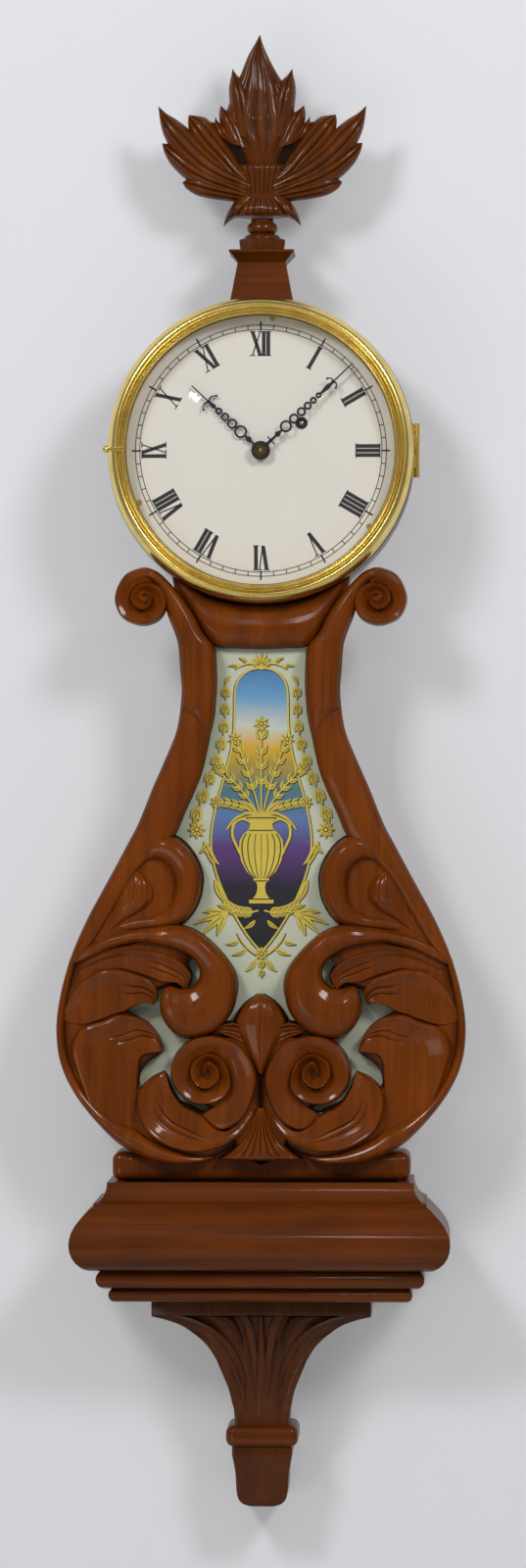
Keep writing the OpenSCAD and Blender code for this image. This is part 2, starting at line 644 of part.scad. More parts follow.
// Place of the pull on the bezel's inner bead
pull_out = 3.5;
pull_below = 1.7;
module pull_place() translate([-sight_r - pull_out, pull_below - bezel_d - bezel_h, dial_z])
    rotate([0, -90, pull_tilt]) children();
module pull_shank() translate([0, 0, -pull_in]) cylinder(h = pull_l - pull_ball_r + pull_in, r = pull_r);
glass_fit = 0.2;
bezel_profile = [[dial_r + dial_gap, 0], [bezel_r, 0], [bezel_r, bezel_h * 0.75],
    [bezel_r - 1, bezel_h * 0.93], [bezel_r - 3, bezel_h], [bezel_r - 5, bezel_h * 0.95],
    [bezel_r - 6, bezel_h * 0.86], [bezel_r - 8, bezel_h * 0.9], [bezel_r - 10, bezel_h * 0.86],
    [sight_r, bezel_h * 0.75], [sight_r, bezel_h - lip_h],
    [glass_r + glass_fit, bezel_h - lip_h], [glass_r + glass_fit, bezel_h - lip_h - glass_t - ring_h],
    [dial_r + dial_gap, bezel_h - lip_h - glass_t - ring_h]];
module bezel_ring() color("gold") difference() {
    turned(bezel_d) polygon(bezel_profile);
    pull_place() pull_shank();
}
module bezel_pull() color("gold") pull_place() {
    pull_shank();
    translate([0, 0, pull_l - pull_ball_r]) sphere(r = pull_ball_r);
}
dome_r = sight_r - 0.5;
function dome(r) = glass_rise * (1 - pow(r / dome_r, 2));
dome_steps = 12;
dome_points = [for (i = [0:dome_steps]) [dome_r * i / dome_steps, dome(dome_r * i / dome_steps)]];
module bezel_glass() color("lightcyan", 0.3) turned(glass_d) polygon(concat(dome_points, [[glass_r, 0]],
    [[glass_r, glass_t]], [for (p = reversed(dome_points)) [p[0], p[1] + glass_t]]));
module glass_retaining_ring() color("gold") turned(glass_d - ring_h) translate([glass_r - 4, 0])
    square([4 + glass_fit, ring_h]);

// Hinge of the bezel
hinge_foot = -hinge_l / 2;
leaf_bite = 5;
hinge_screw_z = [-10, 10];
web_in = 0.2;
hinge_screw_r = 0.9;
module hinge_screw_shanks() for (z = hinge_screw_z)
    translate([drum_r - leaf_bite, -hinge_d + hinge_leaf_w / 2, dial_z + z])
        rotate([0, 90, 0]) cylinder(h = leaf_bite + hinge_leaf_t, r = hinge_screw_r);
module knuckle_place(i) translate([hinge_x, -hinge_d, dial_z + hinge_foot + i * (knuckle_l + knuckle_gap)])
    children();
module knuckle(i, bore) knuckle_place(i) difference() {
    cylinder(h = knuckle_l, r = knuckle_r);
    translate([0, 0, -cut]) cylinder(h = knuckle_l + 2 * cut, r = bore);
}
// Room in one leaf for the knuckles of the other
module knuckle_room(first) for (i = [first:2:knuckles - 1]) knuckle_place(i)
    translate([0, 0, -knuckle_gap]) cylinder(h = knuckle_l + 2 * knuckle_gap, r = knuckle_r + knuckle_gap);
// A curved leaf on a rim of radius r, from one depth to another
module hinge_leaf(r, near, far) intersection() {
    turned(near) translate([r, 0]) square([hinge_leaf_t, far - near]);
    translate([0, -far, dial_z + hinge_foot]) cube([2 * r, far - near, hinge_l]);
}
// Webs from the leaf to its knuckles, hollowed to the rim
module hinge_webs(r, near, far, first) difference() {
    for (i = [first:2:knuckles - 1]) knuckle_place(i) translate([r - leaf_bite - hinge_x, hinge_d - far, 0])
        cube([hinge_x - r + leaf_bite - hinge_pin_r - running, far - near, knuckle_l]);
    rod(near - cut, far - near + 2 * cut, r);
}
module hinge_leaf_case() color("goldenrod") difference() {
    union() {
        hinge_leaf(drum_r, hinge_d - hinge_leaf_w, drum_d);
        hinge_webs(drum_r, hinge_d - knuckle_r + web_in, drum_d, 0);
        for (i = [0:2:knuckles - 1]) knuckle(i, hinge_pin_r);
    }
    knuckle_room(1);
    hinge_screw_shanks();
}
module hinge_leaf_bezel() color("goldenrod") difference() {
    union() {
        hinge_leaf(bezel_r, bezel_d, bezel_d + hinge_leaf_w);
        hinge_webs(bezel_r, bezel_d, hinge_d + knuckle_r - web_in, 1);
        for (i = [1:2:knuckles - 1]) knuckle(i, hinge_pin_r + running);
    }
    knuckle_room(0);
}
module hinge_pin() color("goldenrod") translate([hinge_x, -hinge_d, dial_z + hinge_foot])
    cylinder(h = hinge_l, r = hinge_pin_r);

// Dial
dial_screw_r = 1;
dial_screw_head = 2;
dial_screw_in = 2.2;
dial_screws_at = [for (a = [85, -35, 203]) (sight_r - dial_screw_in) * [cos(a), sin(a)]];
dial_bite = 8;
dial_hole_r = hour_pipe_r + 0.6;
eyelet_r = 4.4;
eyelet_hole = 3;
eyelet_h = 0.8;
module dial_screw_shanks() for (p = dial_screws_at)
    rod(drum_d - dial_bite, dial_bite + dial_t, dial_screw_r, p);
module dial_plate() color("ivory") difference() {
    rod(drum_d, dial_t, dial_r);
    rod(drum_d - cut, dial_t + 2 * cut, dial_hole_r);
    rod(drum_d - cut, dial_t + 2 * cut, eyelet_r - 1, wind_at);
    dial_screw_shanks();
}
module brass_screws() color("goldenrod") {
    hinge_screw_shanks();
    dial_screw_shanks();
    for (p = dial_screws_at) rod(drum_d + dial_t, eyelet_h, dial_screw_head, p);
}
module winding_eyelet() color("black") turned(drum_d, wind_at) polygon([[eyelet_hole, 0], [eyelet_r - 1, 0],
    [eyelet_r - 1, dial_t], [eyelet_r, dial_t], [eyelet_r - 0.5, dial_t + eyelet_h],
    [eyelet_hole, dial_t + eyelet_h]]);

// Hands: a chain of rings, then a crossed spear
ring_w = 1.2;
hour_rings = [4.1, 3.7, 3.3, 2.9];
minute_rings = [4.1, 3.7, 3.3, 2.9, 2.4, 2];
first_ring = 19.6;
minute_cross = 67.5;
hour_cross = 50;
function ring_up(r, i) = i == 0 ? first_ring : ring_up(r, i - 1) + r[i - 1] + r[i] - ring_w / 2;
module hand(rings, length, cross, angle, bore) rotate(-angle) {
    last = len(rings) - 1;
    tail = ring_up(rings, last) + rings[last] - ring_w / 2;
    difference() {
        circle(r = collet_r);
        circle(r = bore);
    }
    translate([-0.8, collet_r - 0.5]) square([1.6, first_ring - rings[0] - collet_r + 1]);
    translate([0, (first_ring - rings[0] + collet_r) / 2]) rotate(45) square([3, 3], center = true);
    for (i = [0:last]) translate([0, ring_up(rings, i)]) difference() {
        circle(r = rings[i]);
        circle(r = rings[i] - ring_w);
    }
    polygon([[-0.8, tail], [0.8, tail], [0.7, cross], [1.7, cross + 4], [0.4, length], [-0.4, length],
        [-1.7, cross + 4], [-0.7, cross]]);
    translate([-4, cross - 0.7]) square([8, 1.4]);
}
module minute_hand() color("midnightblue") slab(minute_hand_d, hand_t)
    hand(minute_rings, minute_l, minute_cross, minute_angle, cannon_r);
module hour_hand() color("midnightblue") slab(hour_hand_d, hand_t)
    hand(hour_rings, hour_l, hour_cross, hour_angle, hour_pipe_r);
module hand_nut() color("gold") turned(nut_d) polygon([[arbor_r, 0], [nut_r, 0], [nut_r, nut_h * 0.5],
    [nut_r - 1.5, nut_h], [arbor_r, nut_h]]);

// Movement: plates, pillars and legs
wind_arbor_r = 2.5;
post_r = 1.5;
stud_r = 1.5;
pivots = [[[0, 0], arbor_r], [wind_at, wind_arbor_r], [third_at, arbor_r], [escape_at, arbor_r],
    [[0, hang_up], arbor_r]];
plate_screw_r = 1.5;
plate_screw_head = 3;
plate_screw_h = 1.5;
plate_screw_bite = 6;
module plate(depth) difference() {
    slab(depth, plate_t) translate([-plate_half, -plate_down])
        square([2 * plate_half, plate_down + plate_up]);
    for (p = pivots) rod(depth - cut, plate_t + 2 * cut, p[1] + running, p[0]);
    for (p = pillars_at) rod(depth - cut, plate_t + 2 * cut, plate_screw_r, p);
}
module movement_back_plate() color("gold") plate(plate_back_d);
module movement_front_plate() color("gold") {
    plate(front_plate_d);
    rod(front_plate_d + plate_t, hour_d + wheel_t + 1.5 - front_plate_d - plate_t, stud_r, stud_at);
}
module pillar_shanks() for (p = pillars_at) {
    rod(front_plate_d - plate_screw_bite, plate_screw_bite + plate_t, plate_screw_r, p);
    rod(plate_back_d - plate_screw_bite, plate_screw_bite * 2 + plate_t, plate_screw_r, p);
}
module plate_pillars() color("gold") {
    difference() {
        for (p = pillars_at) rod(plate_back_d + plate_t, plate_gap, pillar_r, p);
        pillar_shanks();
    }
    rod(plate_back_d + plate_t, plate_gap, post_r, [anchor_x, anchor_z]);
}
module movement_legs() color("peru") difference() {
    for (p = pillars_at) rod(back_t, plate_back_d - back_t, leg_r, p);
    pillar_shanks();
}
module pillar_screws() color("steelblue") {
    pillar_shanks();
    for (p = pillars_at) rod(front_plate_d + plate_t, plate_screw_h, plate_screw_head, p);
}
bridge_post_x = 14;
bridge_half = 17;
bridge_h = 10;
bridge_half_d = 3;
spring_half_t = 0.2;
spring_slot = 0.9;
spring_in = 5;
spring_l = 14;
module suspension_bridge() color("gold") difference() {
    union() {
        slab(pendulum_d - bridge_half_d, 2 * bridge_half_d) translate([-bridge_half, hang_up])
            square([2 * bridge_half, bridge_h]);
        for (x = [-1, 1]) rod(pendulum_d, plate_back_d - pendulum_d, bridge_half_d - 0.5,
            [x * bridge_post_x, hang_up + bridge_h / 2]);
    }
    slab(pendulum_d - bridge_half_d - cut, 2 * (bridge_half_d + cut)) translate([-spring_slot, hang_up - cut])
        square([2 * spring_slot, spring_in + cut + loose]);
}

// Train: a wheel at its centre, turned so that a tooth meets a gap of its mate
tooth_share = [-0.28, -0.1, 0.1, 0.28];
addendum = 0.8;
dedendum = 1.25;
function heading(v) = atan2(v[1], v[0]);
function gear_points(n, m, phase) = [for (i = [0:n - 1], k = [0:3])
    let (a = phase + 360 / n * (i + tooth_share[k]))
    m * (n / 2 + (k == 0 || k == 3 ? -dedendum : addendum)) * [cos(a), sin(a)]];
module toothed(n, m, at, mate, gap_first = false) translate(at)
    polygon(gear_points(n, m, heading(mate - at) + (gap_first ? 180 / n : 0)));
saw_root = 0.82;
saw_slope = 0.7;
module saw(n, tip, at) translate(at) polygon([for (i = [0:n - 1], k = [0, 1])
    let (a = 360 / n * (i + saw_slope * k)) (k == 0 ? tip : tip * saw_root) * [cos(a), sin(a)]]);
pinion_over = 1;
module centre_arbor() color("silver") {
    rod(plate_back_d, nut_d + nut_h - plate_back_d, arbor_r);
    slab(great_d - pinion_over, great_t + 2 * pinion_over) toothed(leaves, great_m, [0, 0], wind_at, true);
}
module centre_wheel() color("gold") difference() {
    slab(centre_d, wheel_t) toothed(centre_n, centre_m, [0, 0], third_at);
    rod(centre_d - cut, wheel_t + 2 * cut, arbor_r);
}
module cannon_pinion() color("silver") difference() {
    union() {
        rod(cannon_d, nut_d - running - cannon_d, cannon_r);
        slab(minute_d, wheel_t + pinion_over) toothed(cannon_n, cannon_m, [0, 0], stud_at);
    }
    rod(cannon_d - cut, nut_d - cannon_d + 2 * cut, arbor_r + running);
}
module minute_wheel() color("gold") difference() {
    union() {
        slab(minute_d + pinion_over / 2, wheel_t) toothed(minute_n, cannon_m, stud_at, [0, 0], true);
        rod(minute_d + pinion_over / 2, hour_d - minute_d, stud_r + 1, stud_at);
        slab(hour_d - pinion_over / 2, wheel_t + pinion_over) toothed(minute_leaves, hour_m, stud_at, [0, 0]);
    }
    rod(minute_d - cut, hour_d - minute_d + wheel_t + 3 * cut, stud_r + running, stud_at);
}
module hour_wheel() color("gold") difference() {
    union() {
        slab(hour_d, wheel_t) toothed(hour_n, hour_m, [0, 0], stud_at, true);
        rod(hour_d, hour_hand_d + hand_t - hour_d, hour_pipe_r);
    }
    rod(hour_d - cut, hour_hand_d + hand_t - hour_d + 2 * cut, cannon_r + running);
}
module great_wheel() color("gold") difference() {
    slab(great_d, great_t) toothed(great_n, great_m, wind_at, [0, 0]);
    rod(great_d - cut, great_t + 2 * cut, wind_arbor_r + running, wind_at);
}
ratchet_n = 16;
ratchet_r = 8;
click_up = 13;
click_turn = 25;
module click() color("silver") {
    slab(great_d + great_t, ratchet_d - great_d - great_t) translate(wind_at + [0, click_up]) circle(r = 1.2);
    slab(ratchet_d, ratchet_t) hull() {
        translate(wind_at + [0, click_up]) circle(r = 1.4, $fn = 24);
        translate(wind_at + (ratchet_r + 1.2) * [sin(click_turn), cos(click_turn)]) circle(r = 0.5, $fn = 24);
    }
}
flange_r = 9.5;
flange_t = 1;
wind_square = 3.4;
module winding_drum() color("silver") {
    rod(plate_back_d, cannon_d + 4 - plate_back_d, wind_arbor_r, wind_at);
    slab(cannon_d + 4, drum_d + dial_t - cannon_d - 4) translate(wind_at) square(wind_square, center = true);
    slab(ratchet_d, ratchet_t) saw(ratchet_n, ratchet_r, wind_at);
    rod(barrel_d, barrel_l, drum_core_r, wind_at);
    for (d = [0, barrel_l - flange_t]) rod(barrel_d + d, flange_t, flange_r, wind_at);
}
module train_arbor(at) rod(plate_back_d, plate_gap + 2 * plate_t, arbor_r, at);
module third_wheel() color("gold") {
    train_arbor(third_at);
    slab(third_d, wheel_t) toothed(third_n, third_m, third_at, escape_at);
    slab(centre_d - pinion_over, wheel_t + 2 * pinion_over) toothed(leaves, centre_m, third_at, [0, 0], true);
}
module escape_wheel() color("gold") {
    train_arbor(escape_at);
    slab(escape_d, escape_t) saw(escape_n, escape_r, escape_at);
    slab(third_d - pinion_over, wheel_t + 2 * pinion_over)
        toothed(leaves, third_m, escape_at, third_at, true);
}

// Escapement and pendulum
verge_at = [0, hang_up];
pallet_turn = 50;
pallet_gap = 1.9;
verge_tail = 4;
crutch_half = 1.5;
crutch_drop = 34;
crutch_t = 1.5;
prong_t = 1.5;
prong_h = 4;
prong_in = 2;
prong_z = hang_up - crutch_drop - prong_h;
crutch_d = plate_back_d - verge_tail;
function pallet_at(side) = let (a = heading(verge_at - escape_at) + side * pallet_turn)
    escape_at + (escape_r + pallet_gap) * [cos(a), sin(a)];
module verge() color("silver") {
    rod(crutch_d, plate_gap + 2 * plate_t + verge_tail, arbor_r, verge_at);
    slab(escape_d, escape_t) for (side = [-1, 1]) hull() {
        translate(verge_at) circle(r = 2.4, $fn = 24);
        translate(pallet_at(side)) circle(r = 0.9, $fn = 24);
    }
    slab(crutch_d, crutch_t) translate([-crutch_half, hang_up - crutch_drop])
        square([2 * crutch_half, crutch_drop + 2 * crutch_half]);
    slab(pendulum_d - prong_in, crutch_d + crutch_t - pendulum_d + prong_in) for (x = [-1, 1])
        translate([x * (rod_r + gap + prong_t / 2) - prong_t / 2, prong_z]) square([prong_t, prong_h]);
    slab(crutch_d, crutch_t) translate([-rod_r - gap - prong_t, prong_z])
        square([2 * (rod_r + gap + prong_t), prong_h + cut]);
}
module suspension_spring() color("silver") slab(pendulum_d - 2, 4)
    translate([-spring_half_t, hang_up - spring_l]) square([2 * spring_half_t, spring_l + spring_in]);
rod_tail = 16;
rod_l = bob_drop + bob_r + rod_tail - spring_l;
nut_tall = 5;
module rod_hole() upright(hang_up - spring_l - rod_l, pendulum_d) cylinder(h = rod_l, r = rod_r);
module pendulum_rod() color("goldenrod") rod_hole();
module pendulum_bob() color("gold") difference() {
    turned(pendulum_d - bob_t / 2, [0, hang_up - bob_drop]) polygon([[0, 0], [bob_r * 0.5, bob_t * 0.08],
        [bob_r, bob_t * 0.42], [bob_r, bob_t * 0.58], [bob_r * 0.5, bob_t * 0.92], [0, bob_t]]);
    rod_hole();
}
module rating_nut() color("gold") difference() {
    upright(hang_up - bob_drop - bob_r - nut_tall, pendulum_d) cylinder(h = nut_tall, r = 5);
    rod_hole();
}

// Weight, pulley and cable
cheek_t = 1.5;
pulley_pin_r = 1.5;
cheek_half = 5;
module weight() color("dimgray") slab(cable_at - weight_t / 2, weight_t)
    translate([pulley_x - weight_w / 2, -weight_down]) square([weight_w, weight_h]);
module pulley_bracket() color("goldenrod") {
    for (d = [-pulley_t / 2 - gap - cheek_t, pulley_t / 2 + gap]) slab(cable_at + d, cheek_t)
        translate([pulley_x - cheek_half, weight_h - weight_down])
            square([2 * cheek_half, weight_gap + pulley_r + cheek_half]);
    slab(cable_at - pulley_t / 2 - gap - cheek_t, pulley_t + 2 * (gap + cheek_t))
        translate([pulley_x - cheek_half, weight_h - weight_down]) square([2 * cheek_half, cheek_t]);
    rod(cable_at - pulley_t / 2 - gap - cheek_t, pulley_t + 2 * (gap + cheek_t), pulley_pin_r,
        [pulley_x, pulley_z]);
}
groove_in = 0.2;
groove_half = 1;
rim_out = 1.6;
module weight_pulley() color("gold") turned(cable_at - pulley_t / 2, [pulley_x, pulley_z]) polygon([
    [pulley_pin_r + running, 0], [pulley_r + rim_out, 0], [pulley_r - groove_in, pulley_t / 2 - groove_half],
    [pulley_r - groove_in, pulley_t / 2 + groove_half], [pulley_r + rim_out, pulley_t],
    [pulley_pin_r + running, pulley_t]]);
module strand(x, top) translate([x, -cable_at, dial_z + pulley_z]) cylinder(h = top - pulley_z, d = cable_d);
module cable() color("darkgoldenrod") {
    strand(strand_x, wind_z);
    strand(anchor_x, anchor_z - post_r);
    translate([pulley_x, -cable_at, dial_z + pulley_z]) rotate([90, 180, 0])
        rotate_extrude(angle = 180) translate([pulley_r + cable_d / 2, 0]) circle(d = cable_d);
}

backboard();
case_screws();
head_drum();
lyre_side_left();
lyre_side_right();
lyre_front();
yoke_rail();
glass_tablet();
tablet_retainers();
weight_partition();
base_apron();
base_moulding();
base_bead_upper();
base_bead_lower();
bracket_console();
bracket_collar();
bracket_drop();
finial_plinth();
plinth_cap();
finial_pedestal();
finial_leaf();
finial_dowel();
dial_plate();
brass_screws();
winding_eyelet();
hinge_leaf_case();
hinge_pin();
movement_back_plate();
movement_front_plate();
plate_pillars();
movement_legs();
pillar_screws();
suspension_bridge();
cable();
bezel_ring();
bezel_glass();
glass_retaining_ring();
hinge_leaf_bezel();
bezel_pull();
centre_arbor();
centre_wheel();
cannon_pinion();
minute_hand();
hand_nut();
hour_wheel();
hour_hand();
minute_wheel();
great_wheel();
click();
winding_drum();
third_wheel();
escape_wheel();
verge();
suspension_spring();
pendulum_rod();
pendulum_bob();
rating_nut();
weight();
pulley_bracket();
weight_pulley();
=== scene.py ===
"""Carved lyre wall clock: finish, carving, dial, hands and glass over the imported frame.

Metres, +Z up, the front faces -Y. Drawn sizes are millimetres across and up from the
dial's centre, with depth measured from the wall, as a carver would set them out.
"""
import math

import bmesh
import bpy
from mathutils import Matrix, Vector


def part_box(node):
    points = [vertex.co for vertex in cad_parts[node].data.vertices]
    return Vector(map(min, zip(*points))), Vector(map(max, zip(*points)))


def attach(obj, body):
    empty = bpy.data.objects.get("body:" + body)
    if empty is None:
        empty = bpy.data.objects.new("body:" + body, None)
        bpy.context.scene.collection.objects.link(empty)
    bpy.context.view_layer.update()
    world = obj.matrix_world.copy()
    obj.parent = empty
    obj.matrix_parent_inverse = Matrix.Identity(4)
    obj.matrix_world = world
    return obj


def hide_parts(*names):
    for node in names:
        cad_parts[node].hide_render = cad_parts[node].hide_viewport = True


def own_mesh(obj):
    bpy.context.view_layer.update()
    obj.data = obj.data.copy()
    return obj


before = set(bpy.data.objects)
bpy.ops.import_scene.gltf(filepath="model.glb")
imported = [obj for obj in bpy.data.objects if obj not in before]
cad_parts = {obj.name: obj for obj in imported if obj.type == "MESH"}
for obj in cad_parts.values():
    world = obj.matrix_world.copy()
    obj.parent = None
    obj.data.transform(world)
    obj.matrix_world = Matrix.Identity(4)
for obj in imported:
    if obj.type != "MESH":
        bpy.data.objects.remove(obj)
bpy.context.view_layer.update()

MM = 0.001
TURN = 2 * math.pi
QUARTER = math.pi / 2
UPRIGHT, FORWARD = (0, 0, 1), (0, -1, 0)
low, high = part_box("dial_plate")
DIAL_X, DIAL_Z = (low[0] + high[0]) / 2, (low[2] + high[2]) / 2


def at(across, up, depth):
    """A drawn place, in metres."""
    return Vector((DIAL_X + across * MM, -depth * MM, DIAL_Z + up * MM))


def node_depths(node):
    """Back and front depth of a CAD node, in millimetres."""
    near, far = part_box(node)
    return -far[1] / MM, -near[1] / MM


def node_span(node):
    """Left, right, foot and top of a CAD node, in drawn millimetres."""
    near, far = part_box(node)
    return ((near[0] - DIAL_X) / MM, (far[0] - DIAL_X) / MM,
            (near[2] - DIAL_Z) / MM, (far[2] - DIAL_Z) / MM)


def node_block(node):
    """Half width, foot, top, back and front of a CAD node that stands across the middle."""
    return (*node_span(node)[1:], *node_depths(node))


DIAL_FACE = node_depths("dial_plate")[1]
FRONT_BACK = node_depths("lyre_front")[0]


# Shader values

class Value:
    """A socket, with arithmetic that adds Math nodes."""

    def __init__(self, finish, socket):
        self.finish = finish
        self.socket = socket

    def math(self, operation, *others):
        sockets = dict(enumerate((self, *others)))
        return self.finish.node("ShaderNodeMath", {"operation": operation}, sockets)

    def __add__(self, other):
        return self.math("ADD", other)

    def __sub__(self, other):
        return self.math("SUBTRACT", other)

    def __mul__(self, other):
        return self.math("MULTIPLY", other)

    def __pow__(self, other):
        return self.math("POWER", other)

    def __rmul__(self, other):
        return self * other

    def __rsub__(self, other):
        return self * -1 + other

    def part(self, name):
        return Value(self.finish, self.socket.node.outputs[name])


class Finish:
    """A material under construction."""

    def __init__(self, name):
        self.material = bpy.data.materials.new(name)
        self.material.use_nodes = True
        self.tree = self.material.node_tree
        self.shader = self.tree.nodes["Principled BSDF"]

    def node(self, kind, settings=None, sockets=None, output=0):
        """Any node, with its settings, its sockets as numbers or values, and one output."""
        made = self.tree.nodes.new(kind)
        for key, value in (settings or {}).items():
            if key == "stops":
                ramp = made.color_ramp
                while len(ramp.elements) < len(value):
                    ramp.elements.new(0.5)
                for element, (place, colour) in zip(ramp.elements, value):
                    element.position = place
                    element.color = (*colour, 1)
            else:
                setattr(made, key, value)
        for key, value in (sockets or {}).items():
            if isinstance(value, Value):
                self.tree.links.new(value.socket, made.inputs[key])
            else:
                made.inputs[key].default_value = value
        return Value(self, made.outputs[output])

    def place(self, stretch=(1, 1, 1), shift=(0, 0, 0)):
        """Object coordinates, stretched and moved."""
        coords = self.node("ShaderNodeTexCoord", output="Object")
        return self.node("ShaderNodeMapping", {},
                         {"Vector": coords, "Scale": stretch, "Location": shift})

    def axes(self, vector):
        split = self.node("ShaderNodeSeparateXYZ", {}, {"Vector": vector})
        return split, split.part("Y"), split.part("Z")

    def noise(self, vector, scale=1, detail=4, rough=0.55, twist=0):
        return self.node("ShaderNodeTexNoise", {},
                         {"Vector": vector, "Scale": scale, "Detail": detail,
                          "Roughness": rough, "Distortion": twist})

    def attribute(self, name):
        return self.node("ShaderNodeAttribute", {"attribute_name": name}, output="Fac")

    def ramp(self, factor, *stops):
        return self.node("ShaderNodeValToRGB", {"stops": stops}, {"Fac": factor})

    def limit(self, value, low_in, high_in, low_out=0, high_out=1):
        return self.node("ShaderNodeMapRange", {"clamp": True},
                         {0: value, 1: low_in, 2: high_in, 3: low_out, 4: high_out})

    def blend(self, factor, first, second):
        first, second = ((*c, 1) if isinstance(c, tuple) else c for c in (first, second))
        return self.node("ShaderNodeMix", {"data_type": "RGBA"},
                         {0: factor, 6: first, 7: second}, output=2)

    def bump(self, height, strength, distance):
        return self.node("ShaderNodeBump", {},
                         {"Height": height, "Strength": strength, "Distance": distance})

    def set(self, **sockets):
        for key, value in sockets.items():
            socket = self.shader.inputs[key.replace("_", " ")]
            if isinstance(value, Value):
                self.tree.links.new(value.socket, socket)
            else:
                socket.default_value = (*value, 1) if isinstance(value, tuple) else value
        return self.material

    def cover(self, factor, first, second):
        """Two shaders mixed, in place of the plain one."""
        both = self.node("ShaderNodeMixShader", {}, {0: factor, 1: first, 2: second})
        self.tree.links.new(both.socket, self.tree.nodes["Material Output"].inputs["Surface"])


# Finishes: in a noise, most of the field lies between these two levels

DIM, BRIGHT = 0.3, 0.7


def paint(red, green, blue):
    """A colour written as it looks on a screen, 0 to 255, as linear light."""
    shares = (c / 255 for c in (red, green, blue))
    return tuple(((s + 0.055) / 1.055) ** 2.4 if s > 0.04045 else s / 12.92 for s in shares)


def darker(colour, share):
    return tuple(c * share for c in colour)


def polished_wood(name, pale, deep, grain, varnish=0.36, satin=0.4):
    """Varnished wood: streaks and pores run along one axis, and painted shade darkens the hollows."""
    f = Finish(name)

    def drawn_out(along, across):
        return f.place(tuple(along if axis == grain else across for axis in "XYZ"))

    figure = f.noise(drawn_out(5, 90), detail=5, rough=0.6, twist=0.6)
    cloud = f.noise(f.place(), scale=14, detail=2)
    pore = f.noise(drawn_out(14, 420), detail=3, rough=0.7)
    # hollow is high in creases, grooves and at carved edges; it paints shade into the colour there
    hollow = f.attribute("hollow")
    tone = f.ramp(figure * 0.65 + cloud * 0.35, (DIM, deep), (0.68, pale))
    pore_stain = f.limit(pore, 0.58, 0.72) * 0.45
    # Painted shade: the colour goes nearly black where the carving lies hollow
    painted_hollow_shade = f.limit(hollow, 0.15, 0.9) * 0.92
    filled = f.blend(pore_stain, tone, darker(deep, 0.42))
    hollow_shaded = f.blend(painted_hollow_shade, filled, darker(deep, 0.14))
    dullness = f.limit(figure, DIM, BRIGHT, satin, satin + 0.1) + hollow * 0.18
    relief = f.bump(pore * 0.5 + figure * 0.5, strength=0.12, distance=0.0004)
    return f.set(Base_Color=hollow_shaded, Roughness=dullness, Coat_Weight=varnish * (1 - hollow * 0.7),
                 Coat_Roughness=0.1, Specular_IOR_Level=0.06, Normal=relief)


def turned_brass(name, bright, dull, polish):
    """Brass with fine lathe lines round the dial's axis and a little tarnish."""
    f = Finish(name)
    lines_per_metre = 2600
    across, _, up = f.axes(f.place(shift=(-DIAL_X, 0, -DIAL_Z)))
    radius = (across * across + up * up) ** 0.5
    turned = f.node("ShaderNodeCombineXYZ", {}, {"X": radius * lines_per_metre})
    tarnish = f.noise(f.place(), scale=60, rough=0.6)
    wear = tarnish * 0.7 + f.noise(turned, detail=2) * 0.3
    return f.set(Base_Color=f.blend(f.limit(tarnish, 0.42, 0.9), bright, dull), Metallic=1.0,
                 Roughness=f.limit(wear, 0.35, 0.75, polish, polish + 0.07))


def bright_metal(name, pale, deep, rough, metal=1.0):
    """Plain filed metal with clouded polish."""
    f = Finish(name)
    cloud = f.noise(f.place(), scale=90)
    scratch = f.noise(f.place((900, 900, 60)), detail=2)
    return f.set(Base_Color=f.blend(cloud, deep, pale), Metallic=metal,
                 Roughness=f.limit(cloud, DIM, BRIGHT, rough, rough + 0.14),
                 Normal=f.bump(scratch, strength=0.08, distance=0.0002))


def painted(name, colour, rough, coat=0.0, mottle=0.06):
    """Smooth paint with a faint cloud in its colour."""
    f = Finish(name)
    cloud = f.noise(f.place(), scale=35)
    speck = f.noise(f.place(), scale=700, detail=2)
    shade = f.blend(f.limit(cloud, DIM, BRIGHT) * mottle, colour, darker(colour, 0.45))
    return f.set(Base_Color=shade, Coat_Weight=coat, Coat_Roughness=0.1,
                 Roughness=f.limit(cloud, DIM, BRIGHT, rough, rough + 0.08),
                 Normal=f.bump(speck, strength=0.05, distance=0.0001))


def raw_wood(name, pale, deep):
    """Unfinished board wood with upright grain."""
    f = Finish(name)
    grain = f.noise(f.place((70, 70, 3)), detail=6, rough=0.62, twist=0.8)
    fibre = f.noise(f.place((500, 500, 20)), detail=2)
    tone = f.ramp(grain, (0.32, deep), (BRIGHT, pale))
    return f.set(Base_Color=f.blend(f.limit(fibre, 0.55, 0.75) * 0.35, tone, deep),
                 Roughness=f.limit(grain, DIM, BRIGHT, 0.62, 0.78),
                 Normal=f.bump(fibre + grain, strength=0.2, distance=0.0003))


def clear_glass(name, tint):
    """Thin clear glass: it mirrors at a slant and lets the rest through."""
    f = Finish(name)
    ripple = f.bump(f.noise(f.place(), scale=22, detail=1), strength=0.02, distance=0.0005)
    facing = f.node("ShaderNodeLayerWeight", {}, {"Blend": 0.5}, output="Facing")
    through = f.node("ShaderNodeBsdfTransparent", {}, {"Color": (*tint, 1)})
    mirror = f.node("ShaderNodeBsdfGlossy", {}, {"Roughness": 0.02, "Normal": ripple})
    f.cover(facing ** 5 * 0.8 + 0.03, through, mirror)
    f.tree.nodes.remove(f.shader)
    return f.material


SKY_BANDS = ((0.0, paint(16, 12, 22)), (0.22, paint(22, 16, 32)), (0.36, paint(92, 52, 122)),
             (0.47, paint(92, 122, 178)), (0.57, paint(76, 118, 128)), (0.66, paint(178, 150, 52)),
             (0.72, paint(224, 168, 44)), (0.79, paint(206, 208, 196)), (0.9, paint(104, 158, 206)),
             (1.0, paint(70, 122, 180)))


